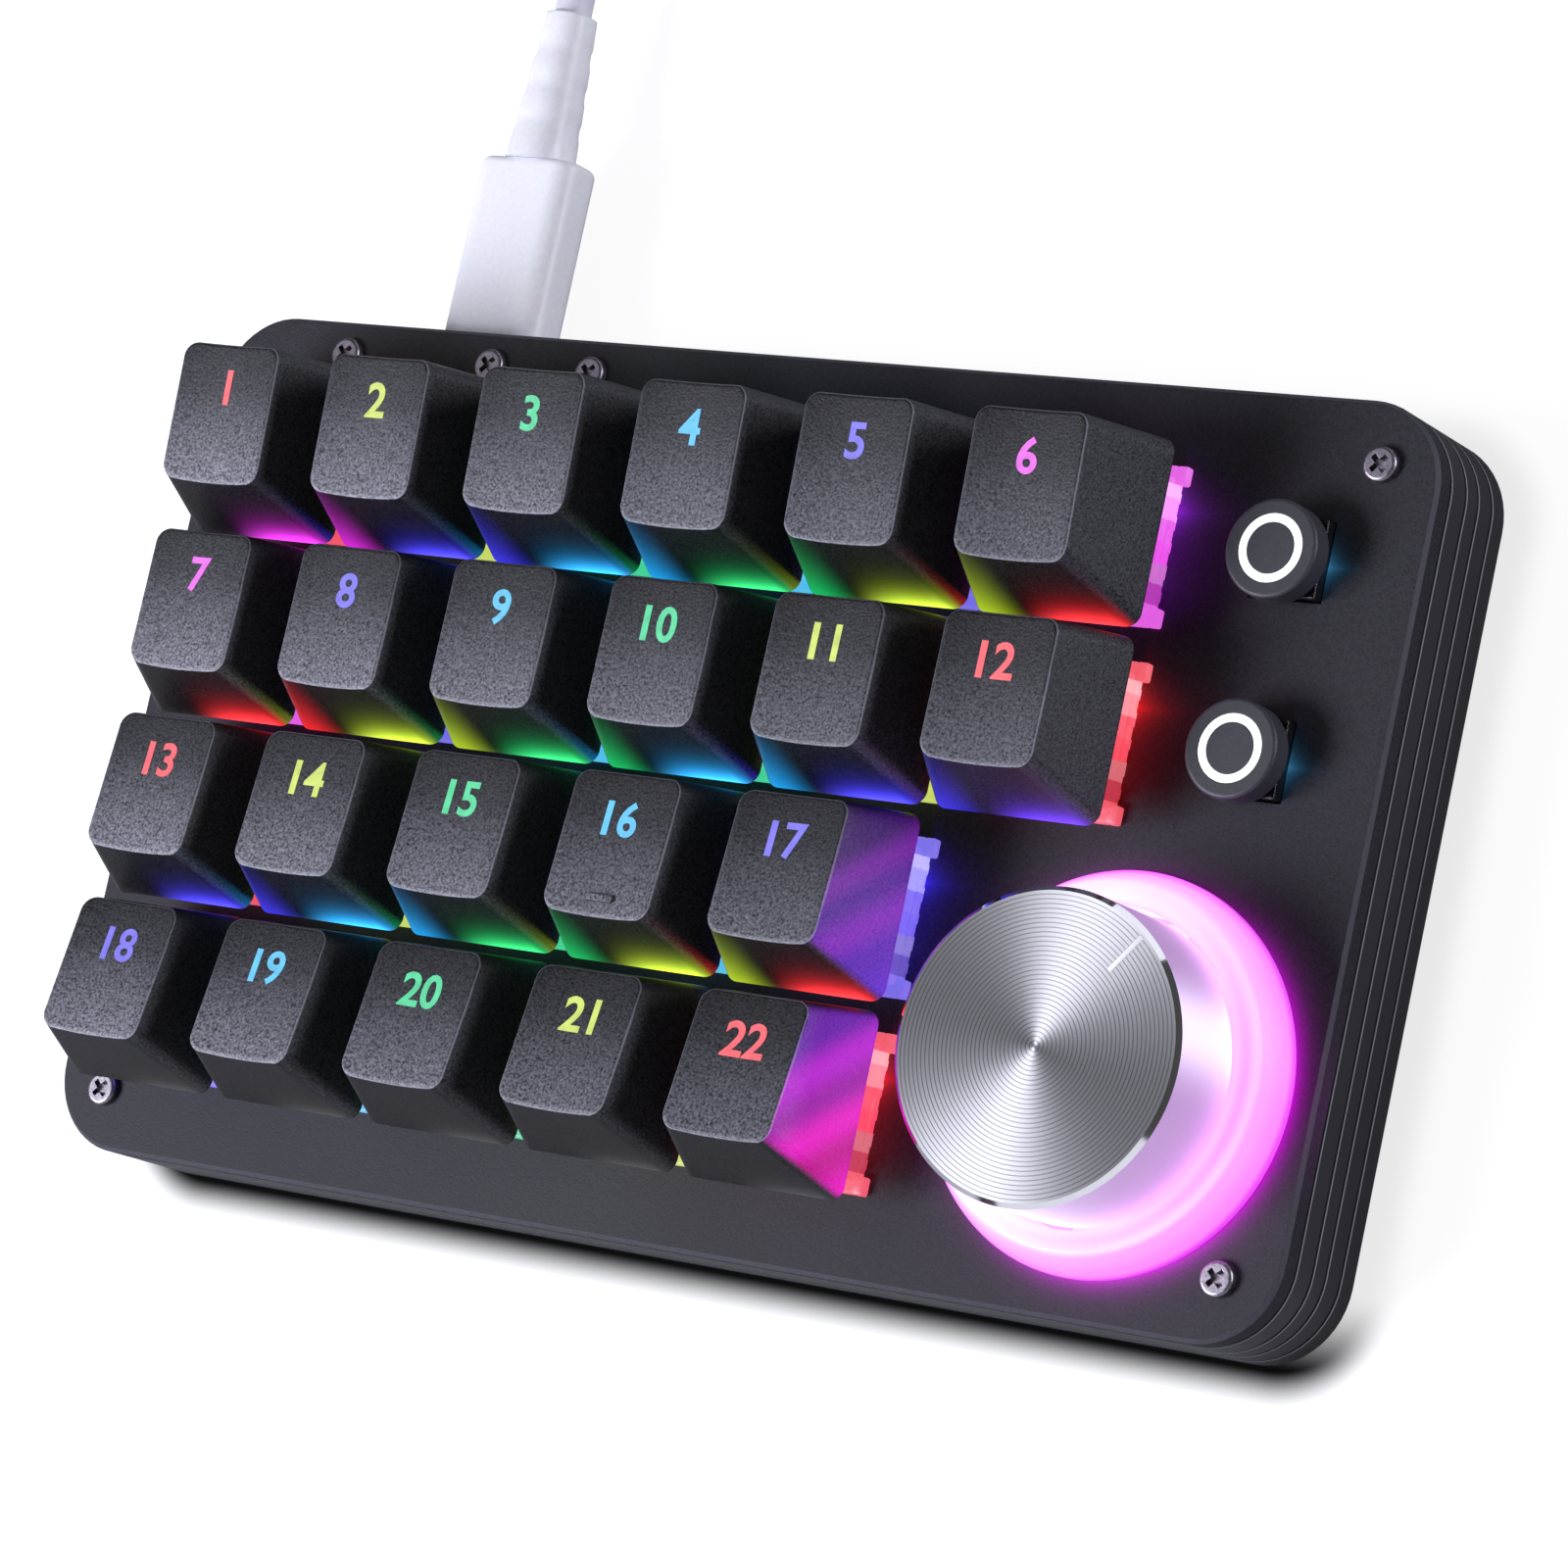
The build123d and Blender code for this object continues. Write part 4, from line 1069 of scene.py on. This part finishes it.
def flat_numeral(name, number):
    """A number's outline as a thin plate about the origin, sliced fine enough to bend."""
    curve = bpy.data.curves.new(name, "FONT")
    curve.body = str(number)
    curve.offset = numeral_boldness
    curve.resolution_u = 4
    mesh = bmesh.new()
    mesh.from_mesh(bpy.data.meshes.new_from_object(bpy.data.objects.new(name, curve)))
    low = [min(vert.co[axis] for vert in mesh.verts) for axis in range(2)]
    high = [max(vert.co[axis] for vert in mesh.verts) for axis in range(2)]
    middle = [(low[axis] + high[axis]) / 2 for axis in range(2)]
    scale = numeral_height / (high[1] - low[1])
    for vert in mesh.verts:
        vert.co = ((vert.co.x - middle[0]) * scale, (vert.co.y - middle[1]) * scale, 0)
    cuts = int((high[0] - low[0]) / 2 * scale / numeral_slice)
    for cut in range(-cuts, cuts + 1):
        bmesh.ops.bisect_plane(
            mesh, geom=[*mesh.verts, *mesh.edges, *mesh.faces],
            plane_co=(cut * numeral_slice, 0, 0), plane_no=(1, 0, 0),
        )
    for made in bmesh.ops.extrude_face_region(mesh, geom=mesh.faces[:])["geom"]:
        if isinstance(made, bmesh.types.BMVert):
            made.co.z = numeral_depth
    return mesh


def make_numeral(row, column, number, net):
    """One key's number, bent on to the dish, on the upper part of the top."""
    name = f"numeral_{number}"
    mesh = flat_numeral(name, number)
    centre_x, centre_y = key_centre(row, column)
    length = keycap_top_back - keycap_top_front
    rise = back_heights[row] - front_heights[row]
    up_slope = Vector((0, length, rise)).normalized()
    outward = Vector((0, -rise, length)).normalized()
    middle = Vector((
        centre_x, centre_y + (keycap_top_back + keycap_top_front) / 2,
        skirt_bottom + (back_heights[row] + front_heights[row]) / 2,
    ))
    dish_radius = (dish_half_width**2 + dish_sag**2) / (2 * dish_sag)
    for vert in mesh.verts:
        across, along, lift = vert.co
        depth = dish_radius - dish_sag - math.sqrt(dish_radius**2 - across**2)
        along += length / 2 - numeral_back_inset
        lift += depth + numeral_lift
        vert.co = middle + Vector((across, 0, 0)) + along * up_slope + lift * outward
    make_piece(name, mesh, key_name(row, column), [net])


numerals_lit = [numeral_material(row) for row in rows]
for number, (row, column) in enumerate(keys, 1):
    make_numeral(row, column, number, numerals_lit[row])


# Switch housings: milky frames that carry the light, with corner blocks and ribbed sides
def housing_material(row):
    """Milky plastic lit by each key's own light in uneven bands, palest by the light at the key's back."""
    net = grained(
        f"housing_row_{row + 1}", (96, 84, 96), (112, 100, 112), roughness=(0.3, 0.42),
        grain=0.0005, relief=1e-5, edge=0.0002, Specular_IOR_Level=0.4,
    )
    _, y, _ = net.place()
    local = key_local(net, y, first_key[1], flange_half)
    stops = [(place, (level, pale, 0.0, 1.0)) for place, level, pale in housing_bands]
    level, pale, _ = net.split("SeparateColor", Color=net.ramp(local * 0.5 + 0.5, stops, "CONSTANT"))
    net.glow(net.light((row_colour(net, led_colours[row]), level), (white, pale)))
    return net


def add_housing_body(mesh, centre):
    """The slab on the plate and the tapered body, with the well through both."""
    flange_top = plate_top + flange_thickness
    body_top = plate_top + housing_height
    foot_half = housing_half - housing_step
    roof_half = housing_top_half - housing_round
    slab = (housing_half, flange_half, housing_edge)
    well = (*housing_well, housing_edge / 2)
    sections = (
        (*slab, plate_top),
        (*slab, flange_top - housing_round),
        (housing_half - housing_round, flange_half - housing_round, housing_edge, flange_top),
        (foot_half, foot_half, housing_edge, flange_top),
        (housing_top_half, housing_top_half, housing_edge, body_top - housing_round),
        (roof_half, roof_half, housing_edge, body_top),
        (*well, body_top),
        (*well, plate_top),
        (*slab, plate_top),
    )
    loops = []
    for half_x, half_y, radius, height in sections:
        outline = rounded_rectangle(half_x, half_y, radius, 4)
        loops.append([(centre[0] + x, centre[1] + y, height) for x, y in outline])
    add_loft(mesh, loops, closed_ends=False)


def add_housing_sides(mesh, centre):
    """The corner blocks and the ribs between them, on the left and the right of the slab."""
    flange_top = plate_top + flange_thickness
    block_start = flange_half - flange_corner_length
    rib_pitch = 2 * block_start / rib_count
    bars = [
        (flange_half, -flange_half, -block_start, flange_top, block_edge),
        (flange_half, block_start, flange_half, flange_top, block_edge),
    ]
    for rib in range(rib_count):
        middle = (rib + 0.5) * rib_pitch - block_start
        half = rib_pitch * rib_shares[rib % 2]
        rib_top = flange_top - rib_drops[rib % 2]
        bars.append((housing_half + rib_reach, middle - half, middle + half, rib_top, rib_edge))
    for side in (-1, 1):
        for reach, front, back, top, edge in bars:
            xs = sorted((centre[0] + side * (housing_half - block_overlap), centre[0] + side * reach))
            add_block(mesh, (xs[0], centre[1] + front, plate_top), (xs[1], centre[1] + back, top), edge)


for row, count in enumerate(row_key_counts):
    mesh = bmesh.new()
    for column in range(count):
        add_housing_body(mesh, key_centre(row, column))
        add_housing_sides(mesh, key_centre(row, column))
    bmesh.ops.remove_doubles(mesh, verts=mesh.verts, dist=1e-7)
    replaced = ("switch_housings",) if row == 0 else ()
    housing_lit = housing_material(row)
    make_piece(f"housings_row_{row + 1}", mesh, "base", [housing_lit], (0, 0, 0), replaced)


# Knob: spun face, polished rim and side, white pointer
def turned_metal(name, dark, light, roughness):
    """Turned aluminium whose fine circular marks draw the light out into wedges and streaks."""
    net = grained(
        name, dark, light, roughness, grain=0.00012, relief=1e-6,
        Metallic=1.0, Anisotropic=brushing, Anisotropic_Rotation=brushing_turn,
    )
    net.set("Tangent", net.node("Tangent", settings={"direction_type": "RADIAL", "axis": "Z"}))
    return net


def add_face_lines(net):
    """Darkens the floors of the face's grooves with painted shade."""
    x, y, _ = net.place()
    inward = knob_face_radius - groove_margin - net.length(x, y)
    part = net.sum("FRACT", inward / groove_pitch)
    # Painted shade in each groove's floor
    line = net.step(part, groove_share + groove_shade_softness[0], groove_share - groove_shade_softness[1])
    net.tone(1.0 - line * groove_shade_darkness)


def make_knob():
    """The shell turned from a profile: wall, polished side, bright chamfer, face cut with fine grooves."""
    height = knob_top - knob_bottom
    inner = knob_radius - knob_wall
    roof = height - knob_face_thickness
    profile = [(0.0, roof, 1), (inner, roof, 1), (inner, 0.0, 1)]
    profile += [(knob_radius - knob_foot_edge, 0.0, 1), (knob_radius, knob_foot_edge, 1)]
    profile += [(knob_radius, height - knob_chamfer, 2), (knob_face_radius, height, 0)]
    for groove in range(groove_count):
        outer = knob_face_radius - groove_margin - groove * groove_pitch
        width = groove_share * groove_pitch
        for step_in, sunk in groove_profile:
            profile.append((outer - step_in * width, height - sunk * groove_depth, 0))
    profile.append((0.0, height, 0))
    mesh = bmesh.new()
    add_lathe(mesh, profile, knob_segments)
    face = turned_metal("knob_face", (158, 158, 160), (168, 168, 170), roughness=(0.45, 0.50))
    add_face_lines(face)
    side = turned_metal("knob_side", (232, 232, 236), (240, 240, 243), roughness=(0.46, 0.52))
    side.glow(shade(*knob_side_light), knob_side_level)
    rim = grained(
        "rim_metal", (240, 240, 243), (247, 247, 249), roughness=(0.05, 0.09), grain=0.004,
        relief=0.0, Metallic=1.0,
    )
    place = (*knob_centre, knob_bottom)
    make_piece("knob_turned", mesh, "knob", [face, side, rim], place, ("knob_shell",), 20.0)


def make_pointer():
    """The white line near the rim of the face."""
    mesh = bmesh.new()
    outer = knob_face_radius - pointer_inset
    low = (outer - pointer_length, -pointer_width / 2, -pointer_thickness)
    high = (outer, pointer_width / 2, pointer_thickness)
    add_block(mesh, low, high, pointer_thickness)
    turn = Quaternion((0, 0, 1), pointer_angle)
    for vert in mesh.verts:
        vert.co = turn @ vert.co
    pointer_white = grained(
        "pointer_white", (236, 236, 236), (246, 246, 246), roughness=(0.4, 0.5), grain=0.0003,
        relief=5e-6,
    )
    make_piece("knob_pointer", mesh, "knob", [pointer_white], (*knob_centre, knob_top))


make_knob()
make_pointer()


# Light ring: milky diffuser, near white inside, pink down its slope
def finish_ring():
    """Pink light that pales towards the knob and deepens at the outer edge."""
    net = grained(
        "ring_pink", (160, 110, 160), (170, 120, 170), roughness=(0.28, 0.4), grain=0.0006,
        relief=8e-6, on=("light_ring",), Specular_IOR_Level=0.4,
    )
    radius, ahead = knob_place(net)
    across = (radius - ring_bore) / (ring_outer - ring_bore)
    near = net.step(ahead, *ring_deep_span)
    pale = net.ramp(across, shades(ring_pale), "EASE")
    deep = net.ramp(across, shades(ring_deep), "EASE")
    level = net.noise(ring_patches, 1.0) * ring_swing + ring_level
    net.glow(net.light((pale, 1.0 - near), (deep, near)), level)


finish_ring()

# Push buttons: satin caps with a lit ring, glossy square bodies
grained(
    "cap_black", (46, 46, 52), (60, 60, 67), roughness=(0.42, 0.52), grain=0.0002,
    relief=1e-5, edge=0.0002, on=("button_cap_upper", "button_cap_lower"),
)
grained(
    "body_black", (16, 16, 18), (24, 24, 27), roughness=(0.15, 0.24), grain=0.0005,
    relief=4e-6, edge=0.0003, mottle=0.004, on=("button_bodies",),
)
lens_white = grained(
    "lens_white", (230, 232, 236), (244, 245, 248), roughness=(0.3, 0.4), grain=0.0004,
    relief=5e-6, on=("button_lens_upper", "button_lens_lower"),
)
lens_white.glow(white, lens_level)


# Floor: as white as the background to the eye, but for a painted shadow close to the case
def floor_material():
    """White that only the eye sees, over a grey that takes the lamps' shadow, with a painted shadow that
    darkens both by and under the case.
    """
    material = bpy.data.materials.new("floor_white")
    material.use_nodes = True
    net = Net(material)
    net.set("Roughness", floor_roughness)
    net.set("Specular IOR Level", floor_specular)
    x, y, _ = net.place()
    outside = [net.most(abs(place) - (half - case_corner), 0.0) for place, half in zip((x, y), case_half)]
    away = net.length(*outside) - case_corner
    # Painted shadow: the floor darkens beside the case, most in front of it and under it
    in_front = net.step(y, case_corner - case_half[1], -case_half[1])
    deepest = net.most(in_front, net.step(away, *floor_under))
    depth = deepest * (1.0 - floor_side_shade) + floor_side_shade
    outside_painted_shadow = 1.0 - net.step(away, *floor_contact_span) * depth
    net.set("Base Color", net.light((shade(*floor_tone), outside_painted_shadow)))
    lift = net.most(outside_painted_shadow * floor_lift, net.step(net.length(x, y), *floor_far))
    net.glow(white, net.seen() * lift)
    return net


def make_floor():
    """A plain floor that keeps the object's shadow."""
    mesh = bmesh.new()
    bmesh.ops.create_grid(mesh, x_segments=1, y_segments=1, size=floor_size / 2)
    data = bpy.data.meshes.new("floor")
    mesh.to_mesh(data)
    mesh.free()
    data.materials.append(floor_material().owner)
    floor = add_object("floor", data)


make_floor()


# Lights
def make_panel(name, place, size, power):
    """A soft rectangular lamp aimed at the keypad."""
    lamp = bpy.data.lights.new(name, "AREA")
    lamp.shape = "RECTANGLE"
    lamp.size, lamp.size_y = size
    lamp.energy = power
    lamp.color = lamp_tint
    add_aimed(name, lamp, place, (0.0, 0.0, plate_top))


for panel in panels:
    make_panel(*panel)


# Surroundings: a dim room that looks white to the eye
def make_world():
    """A white background whose own light on the object is low."""
    world = bpy.data.worlds.new("surroundings")
    world.use_nodes = True
    net = Net(world)
    background = net.tree.nodes["Background"]
    background.inputs["Color"].default_value = white
    net.fill(background.inputs["Strength"], net.seen() * (1.0 - world_level) + world_level)
    bpy.context.scene.world = world


make_world()
bpy.context.scene.view_settings.view_transform = "Standard"
